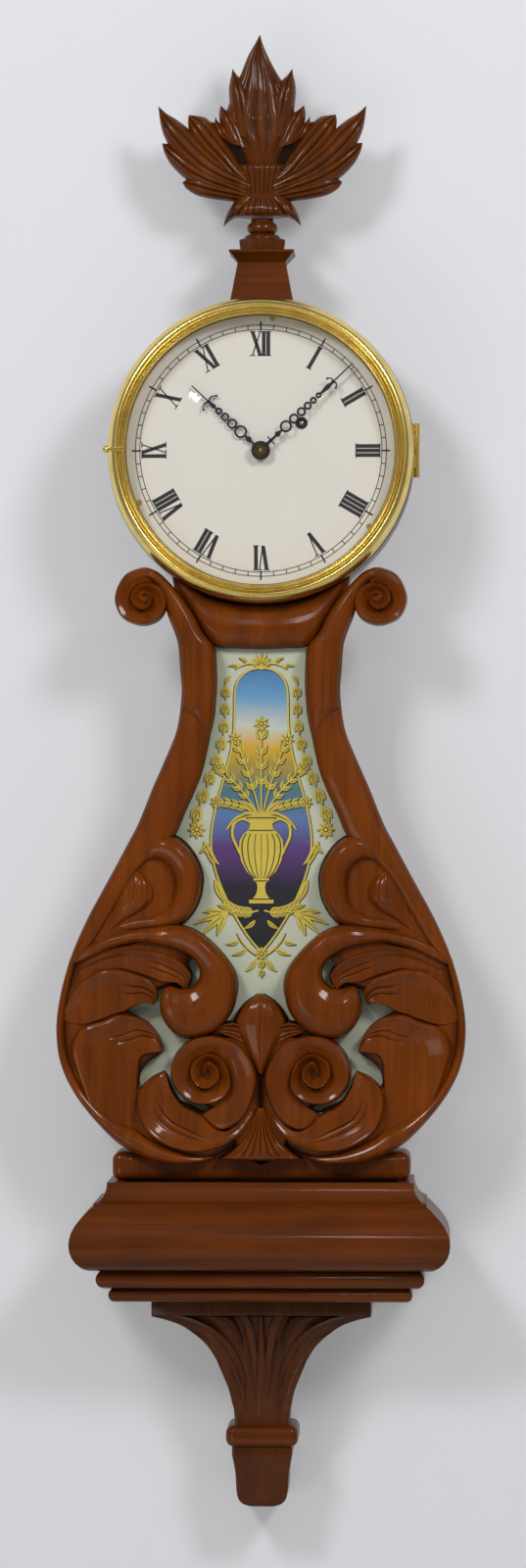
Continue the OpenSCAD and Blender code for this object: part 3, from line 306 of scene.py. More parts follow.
def evening_sky(name, foot, top):
    """Blended bands of paint from black water at the foot to a blue sky at the top."""
    f = Finish(name)
    cloud = f.noise(f.place((30, 30, 90)), detail=3)
    up = f.axes(f.place())[2]
    height = f.limit(up + (cloud - 0.5) * 0.012, foot, top)
    return f.set(Base_Color=f.ramp(height, *SKY_BANDS),
                 Roughness=f.limit(cloud, DIM, BRIGHT, 0.4, 0.5))


PICTURE_TOP, PICTURE_FOOT = -152, -352
LYRE_WOOD = polished_wood("lyre_mahogany", paint(128, 60, 2), paint(84, 37, 1), "Z")
BASE_WOOD = polished_wood("base_mahogany", paint(108, 50, 4), paint(64, 28, 2), "X", 0.35)
LEAF_WOOD = polished_wood("finial_mahogany", paint(112, 54, 5), paint(62, 28, 3), "Z", 0.45, 0.34)
BRACKET_WOOD = polished_wood("bracket_mahogany", paint(90, 43, 5), paint(54, 24, 3), "Z", 0.35)
# The drum's mahogany painted near black: painted shade below the bezel
DRUM_SHADE_WOOD = polished_wood("drum_mahogany_shaded", paint(34, 15, 7), paint(16, 7, 4), "X", 0.4)
PINE = raw_wood("case_pine", paint(206, 172, 122), paint(160, 118, 74))
BEZEL_BRASS = turned_brass("bezel_brass", paint(240, 214, 128), paint(204, 170, 88), 0.22)
OLD_BRASS = bright_metal("browned_brass", paint(132, 104, 52), paint(58, 44, 22), 0.22)
PLATE_BRASS = bright_metal("movement_brass", paint(214, 178, 92), paint(172, 132, 60), 0.26)
STEEL = bright_metal("arbor_steel", paint(186, 188, 192), paint(134, 136, 142), 0.28)
IRON = bright_metal("cast_iron", paint(72, 72, 74), paint(44, 44, 46), 0.55, metal=0.7)
BLUED = bright_metal("blued_steel", paint(46, 52, 70), paint(22, 24, 34), 0.34, metal=0.6)
DIAL_PAINT = painted("dial_enamel", paint(236, 231, 223), 0.42, coat=0.15, mottle=0.05)
BLACK_PAINT = painted("numeral_black", paint(26, 26, 32), 0.45, coat=0.1)
# Black of the eyelet, also used as painted shade inside the winding hole
EYELET_BLACK_AND_SHADE = painted("eyelet_black_and_shade", paint(14, 14, 16), 0.3, coat=0.4)
GLASS = clear_glass("dial_glass", (0.985, 0.985, 0.98))
TABLET_GLASS = clear_glass("tablet_glass", (0.95, 0.97, 0.95))
PICTURE = evening_sky("tablet_sky", DIAL_Z + PICTURE_FOOT * MM, DIAL_Z + PICTURE_TOP * MM)
TABLET_GROUND = painted("tablet_cream", paint(204, 204, 184), 0.5, mottle=0.1)
GILT = painted("tablet_gilt", paint(226, 198, 76), 0.45, mottle=0.3)
INK = painted("tablet_ink", paint(20, 16, 14), 0.5)
GUT = painted("cable_gut", paint(150, 122, 74), 0.6, mottle=0.3)


# Making pieces

def made(name, bm, finish, node=None, crease=40, body="case"):
    """A closed bmesh as a finished piece that rides on a body and may stand for a CAD node."""
    bmesh.ops.recalc_face_normals(bm, faces=bm.faces)
    mesh = bpy.data.meshes.new(name)
    bm.to_mesh(mesh)
    bm.free()
    mesh.shade_smooth()
    mesh.set_sharp_from_angle(angle=math.radians(crease))
    mesh.materials.append(finish)
    piece = bpy.data.objects.new(name, mesh)
    bpy.context.scene.collection.objects.link(piece)
    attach(piece, body)
    if node:
        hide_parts(node)
    return piece


def curve(p, q, r, s, t):
    """A number on a smooth run from q to r, at a share t of the way."""
    square = (2 * p - 5 * q + 4 * r - s) * t * t
    cube = (3 * q - p - 3 * r + s) * t ** 3
    return 0.5 * (2 * q + (r - p) * t + square + cube)


def spread(stations, count):
    """Points on a smooth curve through the stations, which may hold any list of numbers."""
    spans = len(stations) - 1
    points = []
    for i in range(count + 1):
        place = i / count * spans
        k = min(int(place), spans - 1)
        near = (stations[max(0, min(spans, k + j))] for j in (-1, 0, 1, 2))
        points.append([curve(*numbers, place - k) for numbers in zip(*near)])
    return points


STEEP = 0.4


def lift_at(profile, share):
    """Height of a profile of (share, height) at a share of its width, with steep steps eased."""
    for (s, h), (s2, h2) in zip(profile, profile[1:]):
        if share <= s2:
            t = (share - s) / (s2 - s)
            return h + (h2 - h) * t * t * (3 - 2 * t) if abs(h2 - h) > STEEP else h + (h2 - h) * t
    return profile[-1][1]


def mapped_grid(bm, rows, columns, place):
    """A grid laid into space: place(row, column) gives a point and how hollow it lies, which the wood
    paints as shade.
    """
    hollow = bm.verts.layers.float.get("hollow") or bm.verts.layers.float.new("hollow")
    grid = bmesh.ops.create_grid(bm, x_segments=columns, y_segments=rows, size=1)["verts"]
    for v in grid:
        row = round((v.co.y + 1) / 2 * rows)
        column = round((v.co.x + 1) / 2 * columns)
        v.co, v[hollow] = place(row, column)
    return grid


def tube(bm, rows, around, place, reach=1e-6):
    """A mapped grid that closes on itself after so many columns, with its ends filled."""
    verts = mapped_grid(bm, rows, around, lambda row, column: place(row, column % around))
    bmesh.ops.remove_doubles(bm, verts=verts, dist=reach)
    open_edges = {e for v in verts if v.is_valid for e in v.link_edges if e.is_boundary}
    if open_edges:
        bmesh.ops.holes_fill(bm, edges=list(open_edges))


def mirrored(bm):
    """The same again on the other side of the clock's middle."""
    geometry = bm.verts[:] + bm.edges[:] + bm.faces[:]
    copied = bmesh.ops.duplicate(bm, geom=geometry)["geom"]
    verts = [v for v in copied if isinstance(v, bmesh.types.BMVert)]
    bmesh.ops.scale(bm, vec=(-1, 1, 1), space=Matrix.Translation((-DIAL_X, 0, 0)), verts=verts)
    bmesh.ops.reverse_faces(bm, faces=[g for g in copied if isinstance(g, bmesh.types.BMFace)])


def lathed(bm, profile, centre, axis, steps=128):
    """A closed outline of (radius, along the axis) in millimetres, spun about an axis."""
    axis = Vector(axis)
    side = Vector((1, 0, 0))
    verts = [bm.verts.new(centre + side * r * MM + axis * h * MM) for r, h in profile]
    edges = [bm.edges.new(pair) for pair in zip(verts, verts[1:] + verts[:1])]
    bmesh.ops.spin(bm, geom=verts + edges, cent=centre, axis=axis, angle=TURN, steps=steps,
                   use_merge=True)
    bmesh.ops.remove_doubles(bm, verts=bm.verts, dist=1e-7)
    bmesh.ops.dissolve_degenerate(bm, edges=bm.edges, dist=1e-7)


def edged(bm, profile, middle, sides):
    """A many-sided turning of (half width, height), about an upright through a middle depth."""

    def place(row, column):
        half, z = profile[row]
        a = TURN * (column + 0.5) / sides
        reach = half / math.cos(math.pi / sides)
        return at(reach * math.sin(a), z, middle + reach * math.cos(a)), 0.0

    tube(bm, len(profile) - 1, sides, place)


def hollowed(first, last, steps):
    """Points from one corner of a profile to another, as a hollow quarter round."""
    (h, z), (h2, z2) = first, last
    turns = [i / steps * QUARTER for i in range(steps + 1)]
    return [(h + (h2 - h) * (1 - math.cos(a)), z + (z2 - z) * math.sin(a)) for a in turns]


# Carving: pixels of the photograph stand for drawn places on the clock's front

PX = 0.69
AXIS_PX, DIAL_PX = 266.0, 461.3


def seen(u, v):
    """Millimetres across and up from the dial's centre of a place in the photograph."""
    return (u - AXIS_PX) * PX, (DIAL_PX - v) * PX


def even(middle, rows):
    """Stations that lie level about a middle, from rows of (half width, place down, height)."""
    return [(middle - half, v, middle + half, v, height) for half, v, height in rows]


# Profiles across a stroke: share of its width, share of its height

PILLOW = (
    (0, 0), (0.04, 0.42), (0.12, 0.72), (0.3, 0.94), (0.5, 1), (0.7, 0.94), (0.88, 0.72),
    (0.96, 0.42), (1, 0))
ROLL = (
    (0, 0), (0.05, 0.5), (0.15, 0.8), (0.32, 0.98), (0.5, 1), (0.68, 0.9), (0.85, 0.66),
    (0.95, 0.4), (1, 0))
SCOOP = (
    (0, 0), (0.03, 0.55), (0.08, 0.92), (0.16, 1), (0.4, 0.86), (0.65, 0.66), (0.9, 0.5),
    (0.98, 0.46), (1, 0))
DISH = (
    (0, 0), (0.02, 0.6), (0.05, 0.94), (0.1, 1), (0.17, 0.88), (0.32, 0.66), (0.55, 0.56),
    (0.8, 0.6), (0.95, 0.58), (1, 0))
DOME = ((0, 0), (0.06, 0.5), (0.2, 0.84), (0.42, 1), (0.6, 0.97), (0.8, 0.76), (0.94, 0.42), (1, 0))
HALF_ROUND = (
    (0, 0.1), (0.06, 0.42), (0.16, 0.7), (0.3, 0.91), (0.5, 1), (0.7, 0.91), (0.84, 0.7),
    (0.94, 0.42), (1, 0))
FLAT = ((0, 0), (0.01, 1), (0.99, 1), (1, 0))
ROWS_PER_STATION = 6
# Among these are the shares of painted shade in cut lines, in grooves and at stroke edges
LINE_SHARPNESS, LINE_FADE, LINE_SHADE = 45, 6, 0.38
VEIN_SHARPNESS = 17
GROOVE_SHADE = 0.6
STROKE_FADE, LENS_FADE = 6, 5
EDGE_SHADE = 2.4
FOOT_DROP, LEAST_STROKE, LEAST_LENS = 3, 0.5, 0.2
WIDE_FEET = (2, 2)
FINIAL_MIDDLE = 45


def fluted(flutes, share, ends, fade):
    """Depth share of flutes cut along a stroke, which run out at its edges and its ends."""
    if not flutes:
        return 0
    inside = min(1, fade * share, fade * (1 - share)) * ends
    return (0.5 + 0.5 * math.cos(TURN * flutes * share)) ** 2 * inside


def incised(lines, share, sharpness):
    """Depth share of single lines cut along a stroke."""
    return max((math.exp(-((share - line) * sharpness) ** 2) for line in lines), default=0)


def carved(bm, stations, profile, ground, back, flutes=0, cut=1.3, feet=(0, 0), columns=28,
           lines=(), span=(0, 1)):
    """A carved stroke between two edges: each station is two pixels and a height in millimetres.

    The stroke's edges reach the ground depth, which may be a function of the place, flutes are
    cut along it, or single lines over a span of it, and it stands on a thin foot that reaches
    past both edges by the feet, in pixels, to the back depth.
    """
    rows = ROWS_PER_STATION * len(stations)
    path = spread(stations, rows)
    last = columns + 4

    def place(row, column):
        u, v, u2, v2, height = path[row]
        wide = max(1e-3, math.hypot(u2 - u, v2 - v))
        share = min(1, max(0, (column - 2) / columns))
        lift = lift_at(profile, share)
        ends = min(1, STROKE_FADE * row / rows, STROKE_FADE * (rows - row) / rows)
        groove = fluted(flutes, share, ends, STROKE_FADE)
        fade = max(0, min(1, (row / rows - span[0]) * LINE_FADE, (span[1] - row / rows) * LINE_FADE))
        line = incised(lines, share, LINE_SHARPNESS) * fade
        # Painted shade: darkest at the stroke's edges, in its flutes and in its cut lines
        hollow = max(0, 1 - lift * EDGE_SHADE) + GROOVE_SHADE * groove + LINE_SHADE * line
        if column < 2:
            share -= feet[0] / wide
        if column > columns + 2:
            share += feet[1] / wide
        x, z = seen(u + (u2 - u) * share, v + (v2 - v) * share)
        level = ground(x, z) if callable(ground) else ground
        depth = level + max(height, LEAST_STROKE) * lift - cut * max(groove, line)
        # The feet and the back take full painted shade
        if column in (1, last - 1):
            depth, hollow = level - FOOT_DROP, 1
        if column in (0, last):
            depth, hollow = back, 1
        return at(x, z, depth), min(1, hollow)

    tube(bm, rows, last + 1, place)


def lens(bm, stations, flutes=0, cut=1.2, columns=20, painted_shade=0, veins=()):
    """A leaf carved on both faces about the finial's middle, from the same kind of stations."""
    rows = ROWS_PER_STATION * len(stations)
    path = spread(stations, rows)

    def place(row, column):
        u, v, u2, v2, height = path[row]
        front = column <= columns
        share = column / columns if front else 2 - column / columns
        ends = min(1, LENS_FADE * row / rows, LENS_FADE * (rows - row) / rows)
        groove = max(fluted(flutes, share, ends, LENS_FADE),
                     incised(veins, share, VEIN_SHARPNESS) * ends)
        lift = max(0, 1 - (2 * share - 1) ** 2) ** 0.5
        out = max(LEAST_LENS, height) * lift - cut * groove
        # Painted shade: darker toward the leaf's thin edges and in its grooves, plus any shade given
        hollow = painted_shade + max(0, 0.7 - 1.6 * lift) + GROOVE_SHADE * groove
        x, z = seen(u + (u2 - u) * share, v + (v2 - v) * share)
        return at(x, z, FINIAL_MIDDLE + (out if front else -out)), min(1, hollow)

    tube(bm, rows, 2 * columns, place)


# The carved lyre front, left half: edge, edge, height

ARM_SHEATH = (
    (144, 580, 144, 592, 5), (158.5, 583, 155, 594, 6), (170.6, 593, 163, 604, 7),
    (185, 610, 168, 618, 8), (196.6, 626, 172, 631, 8.5), (207.5, 647, 178, 646, 9),
    (219, 662, 182, 660, 9), (221, 685, 184, 685, 9), (221, 703, 185.5, 704, 9),
    (219.7, 721.5, 184.5, 721.5, 9.5), (219, 730, 186, 723, 9), (216, 745, 196, 733, 7),
    (213, 756, 209, 752, 3))
CHEEK = (
    (219.7, 715, 185, 715, 6), (215.4, 745.7, 180.3, 745.7, 7.5), (207.3, 784, 167, 779, 8),
    (199.3, 806, 156.4, 803, 8), (188.6, 830, 141.5, 840, 8), (177.8, 854, 131, 860, 8),
    (160, 870, 122, 877, 7), (140, 890, 104.6, 909, 6.5), (118, 925, 90, 936, 6),
    (95, 962, 76, 967, 5), (74, 985, 68, 990, 3))
UPPER_VOLUTE = (
    (160, 584, 153, 598, 6), (147, 580, 150, 596, 7), (127, 588, 138, 600, 8),
    (117, 611, 133, 611, 8), (125, 631.5, 138, 621, 8.5), (146, 639.5, 147, 624, 8.5),
    (164, 632.5, 154, 620.5, 9), (171, 616, 156, 613.5, 9), (165, 601, 154, 607.5, 9.5),
    (150, 596, 149, 606, 10), (138.5, 600, 145, 607, 10), (133, 611, 143.5, 611, 10),
    (137.5, 620.5, 145, 614.5, 10.5), (147, 624, 148, 614, 10.5), (154, 620, 149, 613, 11),
    (156, 613.5, 149, 612, 11), (153.5, 607.5, 148.5, 611, 11.5), (149, 605.7, 148, 611, 11.5),
    (144.5, 607.5, 147.5, 611.5, 11.5))
UPPER_EYE = (
    (139, 610, 139, 612, 5), (143, 603, 143, 619, 8), (149, 601, 149, 621, 9),
    (154, 604, 154, 618, 8), (157, 610, 157, 612, 5))
ROLLED_LEAF = (
    (146, 866, 148, 872, 3), (152, 857, 150, 879, 7), (165, 853, 158, 877, 10),
    (177.6, 854, 165, 879, 11.5), (189.3, 862, 171, 884, 12), (199.3, 875.7, 176, 891, 12),
    (205, 890, 178, 899, 12), (205.5, 902.5, 178, 906, 11.5), (202.7, 918, 175, 919, 11),
    (195, 932.6, 169, 928, 10), (184.8, 942, 160, 933, 8), (170, 946, 150, 936, 6),
    (150, 948, 138, 937, 4.5), (128, 950, 120, 943, 3))
SMALL_LEAF = (
    (138, 886, 136, 888, 2), (146, 891, 130, 897, 6), (154, 899, 124, 906, 8),
    (157.5, 908, 120, 913, 8.5), (157, 918, 116.7, 920, 8), (147, 928, 113, 932, 6),
    (130, 938, 110, 942, 4), (112, 952, 105, 952, 2))
BIG_SCROLL = (
    (73, 978, 76, 984, 2), (90, 965, 93, 977, 5), (111, 955, 114, 968, 7),
    (139, 948, 140, 962, 8.5), (160, 945, 160, 964, 9.5), (178, 943, 176, 968, 10.5),
    (196, 947, 190, 974, 11.5), (212, 957, 199, 981, 12), (228, 973, 203, 988, 12),
    (239, 989, 203.5, 994, 12), (243, 1003, 202, 1000, 12), (241.6, 1017, 199, 1004, 12),
    (236, 1034, 194.5, 1007, 12), (222, 1051, 190, 1008, 12), (204, 1058.5, 186, 1008, 12),
    (186, 1059, 182, 1007.5, 12), (173, 1050, 178, 1006, 12), (165, 1037, 174, 1005.5, 11),
    (163, 1024, 171, 1006, 9), (166, 1012, 168, 1008, 6))
UPPER_SIDE_LEAF = (
    (80, 990, 82, 994, 2), (104, 976, 104, 990, 5), (125, 970, 124, 989, 6.5),
    (145, 969, 142, 994, 7.5), (165, 972, 154, 998, 8.5), (180, 978, 164, 1002, 9.5),
    (190, 986, 172, 1002.5, 9.5), (195, 996, 180, 1003, 8), (191, 1007, 188, 1009, 3))
MIDDLE_SIDE_LEAF = (
    (66, 1030, 64, 1040, 2), (76, 1010, 72, 1045, 4), (87, 997.5, 86, 1047, 6),
    (104, 989, 104, 1042, 8), (122, 988, 116, 1037, 9), (139, 993, 127, 1033, 9.5),
    (152, 998, 137, 1027, 9.5), (160, 1007, 146, 1024, 8.5), (161, 1017, 153, 1024, 6),
    (158, 1024, 157, 1025, 2))
LOWER_SIDE_LEAF = (
    (104, 1150, 140, 1150, 3), (92, 1133, 141, 1125, 5), (84, 1112, 142, 1105, 6.5),
    (77, 1092, 143, 1088, 8), (72, 1070, 146, 1080, 9), (80, 1050, 152, 1076, 10),
    (104, 1041, 158, 1075, 10), (122, 1034, 163, 1074.5, 9.5), (146, 1039.6, 166, 1074, 8),
    (159, 1052, 167, 1073, 5), (166, 1068, 167.5, 1073, 2))
RIM = (
    (71.6, 978, 76, 985, 3), (63, 1009, 70, 1012, 4), (57.8, 1041, 66, 1041, 5),
    (58.7, 1069.6, 67, 1068, 5), (64.4, 1092.6, 74, 1091, 5.5), (75.9, 1115.5, 86, 1112, 6),
    (91.7, 1137, 103, 1131, 7), (111.8, 1158.6, 125, 1146, 8.5), (126, 1170, 140, 1152, 9.5),
    (143.3, 1178.7, 152, 1160, 10), (163.4, 1186, 168, 1168, 9.5), (184, 1188, 188, 1175, 8),
    (203.6, 1186, 206, 1178, 5), (218, 1181, 217, 1179, 2))
CRADLE_LEAF = (
    (168, 1092, 169, 1093.5, 2), (155, 1098, 172, 1101, 7), (144, 1109, 175, 1109, 9.5),
    (140, 1124, 180, 1117.5, 11), (142.5, 1141, 186, 1125, 11.5), (151, 1156.5, 193, 1130, 12),
    (165, 1166.5, 200, 1133, 12), (182, 1173, 208, 1138, 12), (202, 1175, 216, 1147, 11.5),
    (223, 1170, 228, 1153, 10), (241.6, 1160, 240, 1148, 8.5), (254, 1146, 249, 1135, 6.5),
    (262, 1128, 259, 1124, 3))
LOWER_VOLUTE = (
    (218, 1150, 210, 1144, 3), (230, 1152.5, 206, 1136.5, 6), (246, 1144, 219, 1127, 8.5),
    (256, 1128, 230.7, 1118.6, 9.5), (261.5, 1110, 236, 1109, 10), (262, 1096, 235.7, 1100, 10),
    (256, 1079, 233, 1089, 10), (244, 1064, 226, 1079.5, 10), (228, 1058, 219.5, 1075, 10),
    (213, 1056, 213.6, 1074.3, 10), (195, 1060, 201, 1079, 10), (181, 1072, 196, 1083, 10),
    (174.3, 1088.6, 194.3, 1088.6, 10), (175.5, 1103, 194.5, 1099, 10),
    (183.6, 1117, 199, 1105.5, 10), (194, 1124.5, 204, 1109.5, 10),
    (206.4, 1127, 209.3, 1110.5, 10), (220, 1125, 217, 1108, 10.4),
    (230.7, 1118.6, 222, 1104, 10.6), (236, 1109, 225, 1099, 10.8), (235.7, 1100, 225, 1095, 11),
    (233, 1089, 222, 1088, 11), (226, 1079.5, 218, 1083.5, 11), (213.6, 1074.3, 213.6, 1081.4, 11),
    (201, 1079, 208, 1086, 11), (194.3, 1088.6, 206.5, 1091, 11), (194.5, 1099, 207, 1096, 11.3),
    (201, 1107.5, 209, 1100, 11.3), (209.3, 1110.5, 212, 1101, 11.6),
    (218, 1107.5, 214, 1099, 11.6), (224, 1101.5, 215, 1096, 11.8), (225, 1095, 214.5, 1093, 12),
    (222, 1087, 213, 1091.5, 12), (213.6, 1081.4, 212, 1092, 12), (207.5, 1087, 211.5, 1093, 12),
    (206.5, 1094, 212, 1094, 12))
CENTRE_SIDE_LEAF = (
    (262, 1050, 262, 1075, 4), (250, 1046, 250, 1066, 7), (238, 1043, 240, 1060, 8),
    (228, 1045, 230, 1056, 7), (221, 1050, 222, 1053, 3))
CENTRE_TOP_LEAF = even(AXIS_PX, ((2, 1014, 3), (14, 1022, 8), (23, 1034, 10), (26, 1045, 10),
                                 (19, 1062, 9), (8, 1082, 7), (2, 1095, 3)))
PALMETTE = even(AXIS_PX, ((4, 1130, 4), (10, 1148, 7), (19, 1162, 8), (31, 1174, 9), (41, 1181, 7)))

# Flat beds behind the open parts of the carving

UPPER_BED = (
    (122, 610, 122, 612, 3), (130, 596, 130, 628, 3), (146, 586, 146, 634, 3),
    (160, 592, 160, 630, 3), (168, 606, 168, 620, 3))
SHOULDER_BED = (
    (176, 846, 138, 850, 3), (178, 862, 128, 868, 3), (186, 890, 112, 896, 3),
    (190, 920, 96, 926, 3), (184, 940, 84, 950, 3), (190, 952, 76, 976, 3))
LEAF_BED = (
    (108, 958, 186, 954, 3), (92, 968, 194, 964, 3), (80, 978, 196, 976, 3), (72, 990, 190, 988, 3),
    (68, 1002, 186, 1001, 3), (64, 1014, 156, 1012, 3), (62, 1024, 136, 1024, 3),
    (61, 1031, 130, 1031, 3), (60.5, 1040, 146, 1040, 3), (60.5, 1052, 157, 1052, 3),
    (61, 1064, 163, 1064, 3), (62, 1073, 166, 1073, 3), (65, 1085, 150, 1085, 3),
    (68, 1097, 143, 1097, 3), (74, 1109, 146, 1109, 3), (82, 1120, 178, 1120, 3),
    (94, 1133, 205, 1133, 3), (106, 1147, 226, 1147, 3), (122, 1160, 242, 1160, 3),
    (140, 1172, 232, 1172, 3), (162, 1182, 215, 1180, 3))
VOLUTE_BED = (
    (214, 1060, 266, 1056, 4), (194, 1066, 266, 1066, 4), (186, 1072, 266, 1072, 4),
    (180, 1081, 266, 1081, 4), (178, 1091, 266, 1091, 4), (179, 1102, 266, 1102, 4),
    (184, 1112, 266, 1112, 4), (194, 1121, 266, 1121, 4), (214, 1130, 266, 1130, 4),
    (230, 1148, 266, 1148, 4), (240, 1170, 266, 1170, 4))
GROUND_RISE = 8


def lyre_front():
    """The carved front: strokes of one half, turned over for the other, and the middle leaves."""
    bm = bmesh.new()
    ground = FRONT_BACK + GROUND_RISE

    def stroke(stations, profile, rise=0, **choices):
        carved(bm, stations, profile, ground + rise, FRONT_BACK, **choices)

    def veined(stations, lines, span, **choices):
        stroke(stations, DISH, cut=1.1, columns=52, lines=lines, span=span, **choices)

    for bed in (UPPER_BED, SHOULDER_BED, LEAF_BED, VOLUTE_BED):
        stroke(bed, FLAT, -1, columns=6)
    stroke(CHEEK, PILLOW)
    stroke(ARM_SHEATH, ROLL, 1)
    stroke(UPPER_VOLUTE, SCOOP, columns=24)
    stroke(UPPER_EYE, DOME, columns=16)
    stroke(SMALL_LEAF, DOME, cut=0.6, columns=44, lines=(0.3, 0.55), span=(0.05, 0.7), feet=WIDE_FEET)
    stroke(ROLLED_LEAF, ROLL, feet=WIDE_FEET)
    stroke(BIG_SCROLL, PILLOW, cut=0.6, columns=40, lines=(0.14,))
    veined(UPPER_SIDE_LEAF, (0.4, 0.62), (0.35, 0.95), feet=WIDE_FEET)
    veined(MIDDLE_SIDE_LEAF, (0.34, 0.52), (0.4, 0.97))
    veined(LOWER_SIDE_LEAF, (0.42, 0.56), (0.42, 0.95))
    stroke(RIM, ROLL, feet=(0, 5), columns=20)
    veined(CRADLE_LEAF, (0.4, 0.54), (0.2, 0.75))
    stroke(LOWER_VOLUTE, SCOOP, columns=20)
    stroke(CENTRE_SIDE_LEAF, DISH, flutes=4, cut=0.8, feet=WIDE_FEET)
    mirrored(bm)
    stroke(CENTRE_TOP_LEAF, DOME, 1, cut=0.6, columns=44, lines=(0.5,), feet=WIDE_FEET)
    stroke(PALMETTE, PILLOW, 1, flutes=8, cut=1.2, columns=64, feet=WIDE_FEET)
    made("lyre_carving", bm, LYRE_WOOD, "lyre_front", 32)


# The carved finial, left half: edge, edge, half thickness

CENTRE_LEAF = (
    (250, 168, 283, 168, 8), (246, 155, 286, 155, 10), (236, 142, 296, 142, 11),
    (226, 130, 303, 130, 11), (227, 117, 301, 117, 11), (232, 102, 296, 102, 10.5),
    (236, 88, 292, 88, 10), (243, 74, 284, 76, 9), (247, 64, 277, 64, 8), (252, 52, 271, 52, 6),
    (259, 40, 266, 40, 3), (263, 32.5, 264, 32.5, 1))
INNER_LOBES = (
    ((262, 140, 236, 136, 9), (258, 112, 233, 108, 10), (253, 92, 231.5, 90, 9.5),
     (247, 80, 232.5, 80, 7), (240, 73, 234, 74, 4), (235.6, 67, 235, 67.5, 1)),
    ((256, 152, 230, 142, 9), (248, 130, 222.5, 122, 9), (238, 116, 221.5, 113, 7),
     (229, 109, 222, 109, 4), (223.4, 104.4, 223, 104.8, 1)),
    ((250, 150, 230, 143, 8), (240, 141, 217.5, 134, 8), (229, 128, 216, 125, 6),
     (221, 121, 216.8, 121, 3), (217.6, 116, 217.3, 116.4, 1)),
)
WING_LOBES = (
    ((264, 186, 260, 200, 9), (246, 176, 240, 192, 11), (228, 164, 221, 187, 12),
     (208, 147, 199, 176, 12), (190, 128, 179, 158, 10), (178, 118.5, 167, 140, 8),
     (168, 112.5, 161.5, 124, 5), (159.5, 105, 159.2, 106, 1)),
    ((262, 182, 256, 192, 9), (246, 168, 236, 182, 10), (232, 147, 220, 168, 11),
     (219, 128, 203, 152, 10), (208, 117, 192, 135, 8), (197, 114.5, 189.5, 122, 4),
     (190.5, 114, 190.3, 115, 1)),
    ((262, 180, 256, 188, 8), (248, 170, 240, 178, 9), (235, 154, 226, 166, 9),
     (226, 138, 214, 149, 7), (219, 124, 212, 133, 4), (214, 121, 213.4, 122, 1)),
    ((258, 192, 254, 203, 9), (238, 182, 232, 196, 10), (218, 172, 211, 191, 11),
     (196, 158, 189, 181, 10), (180, 147, 173, 166, 7), (170, 143.5, 165.5, 153, 4),
     (163.3, 143, 163.2, 144, 1)),
    ((258, 194, 254, 206, 9), (240, 187, 235, 203, 9), (222, 181, 216, 200.5, 9),
     (206, 175, 199, 196.5, 8), (194, 176.5, 188.5, 190, 5), (184.5, 182.5, 184.2, 184, 1)),
)
CALYX_SIDE = (
    (262, 200, 240, 199, 11), (254, 208, 233.5, 208, 13), (246, 216, 229, 217, 12),
    (235, 221, 227, 224, 7), (226.5, 228, 226, 228.5, 2))
CALYX_FRONT = even(265, ((19, 197, 12), (24, 206, 15), (29, 214, 16), (28, 219, 13)))
LEAF_TRUNK = (
    (241, 166, 291, 166, 11), (238, 169, 294, 169, 14), (242, 178, 290, 178, 13.5),
    (245, 190, 287, 190, 12.5), (246, 203, 285, 203, 11))
# A dark leaf behind the lobes: painted shade in the openings beside the trunk
FINIAL_SHADE_LEAF = (
    (230, 136, 300, 136, 4), (224, 144, 306, 144, 4), (226, 156, 304, 156, 4),
    (236, 172, 292, 172, 4))


def finial():
    """A leaf of lobes and wings rising from a calyx, carved on both faces."""
    bm = bmesh.new()
    for lobe in INNER_LOBES:
        lens(bm, lobe, veins=(0.5,), columns=28)
    for lobe in WING_LOBES:
        lens(bm, lobe, cut=1.6, veins=(0.3, 0.62), columns=32)
    lens(bm, CALYX_SIDE, flutes=4, cut=0.6)
    mirrored(bm)
    lens(bm, CENTRE_LEAF, cut=1.3, veins=(0.22, 0.42, 0.6, 0.8), columns=56)
    lens(bm, LEAF_TRUNK, flutes=9, cut=0.7, columns=72)
    lens(bm, CALYX_FRONT, flutes=8, cut=0.5, columns=56)
    # Painted shade: a fully dark leaf behind the openings
    lens(bm, FINIAL_SHADE_LEAF, painted_shade=1)
    made("carved_finial", bm, LEAF_WOOD, "finial_leaf")


def pedestal():
    """The turned neck under the finial on its eight-sided foot, and the sloped cap below."""
    foot, top = node_span("finial_pedestal")[2:]
    bm = bmesh.new()
    edged(bm, ((15.2, foot), (16.1, foot + 6.5), (16.1, foot + 8), (13.4, foot + 9.2)), FINIAL_MIDDLE, 8)
    neck = hollowed((13, foot + 9), (8.2, foot + 12.4), 8)
    bead = [(10.3, foot + 14.2), (10.9, foot + 16.6), (10.3, foot + 19), (8, foot + 21)]
    lathed(bm, [(0, foot + 9), *neck, *bead, (8, top), (0, top)], at(0, 0, FINIAL_MIDDLE), UPRIGHT, 64)
    made("turned_pedestal", bm, LEAF_WOOD, "finial_pedestal", 35)
    half, foot, top = node_span("plinth_cap")[1:]
    bm = bmesh.new()
    edged(bm, ((16.6, foot), (half - 1.2, top - 2.4), (half, top - 1.6), (half, top - 0.3),
               (half - 0.4, top)), FINIAL_MIDDLE, 4)
    made("sloped_cap", bm, BASE_WOOD, "plinth_cap", 20)


# Mouldings

def mitred(bm, profile, back, rise):
    """A closed profile of (half width, height) taken round a left side, a front and a right side."""

    def place(row, column):
        half, z = profile[column]
        side = -1 if row < 2 else 1
        depth = back if row in (0, 3) else half - rise
        return at(side * half, z, depth), 0.0

    tube(bm, 3, len(profile), place)


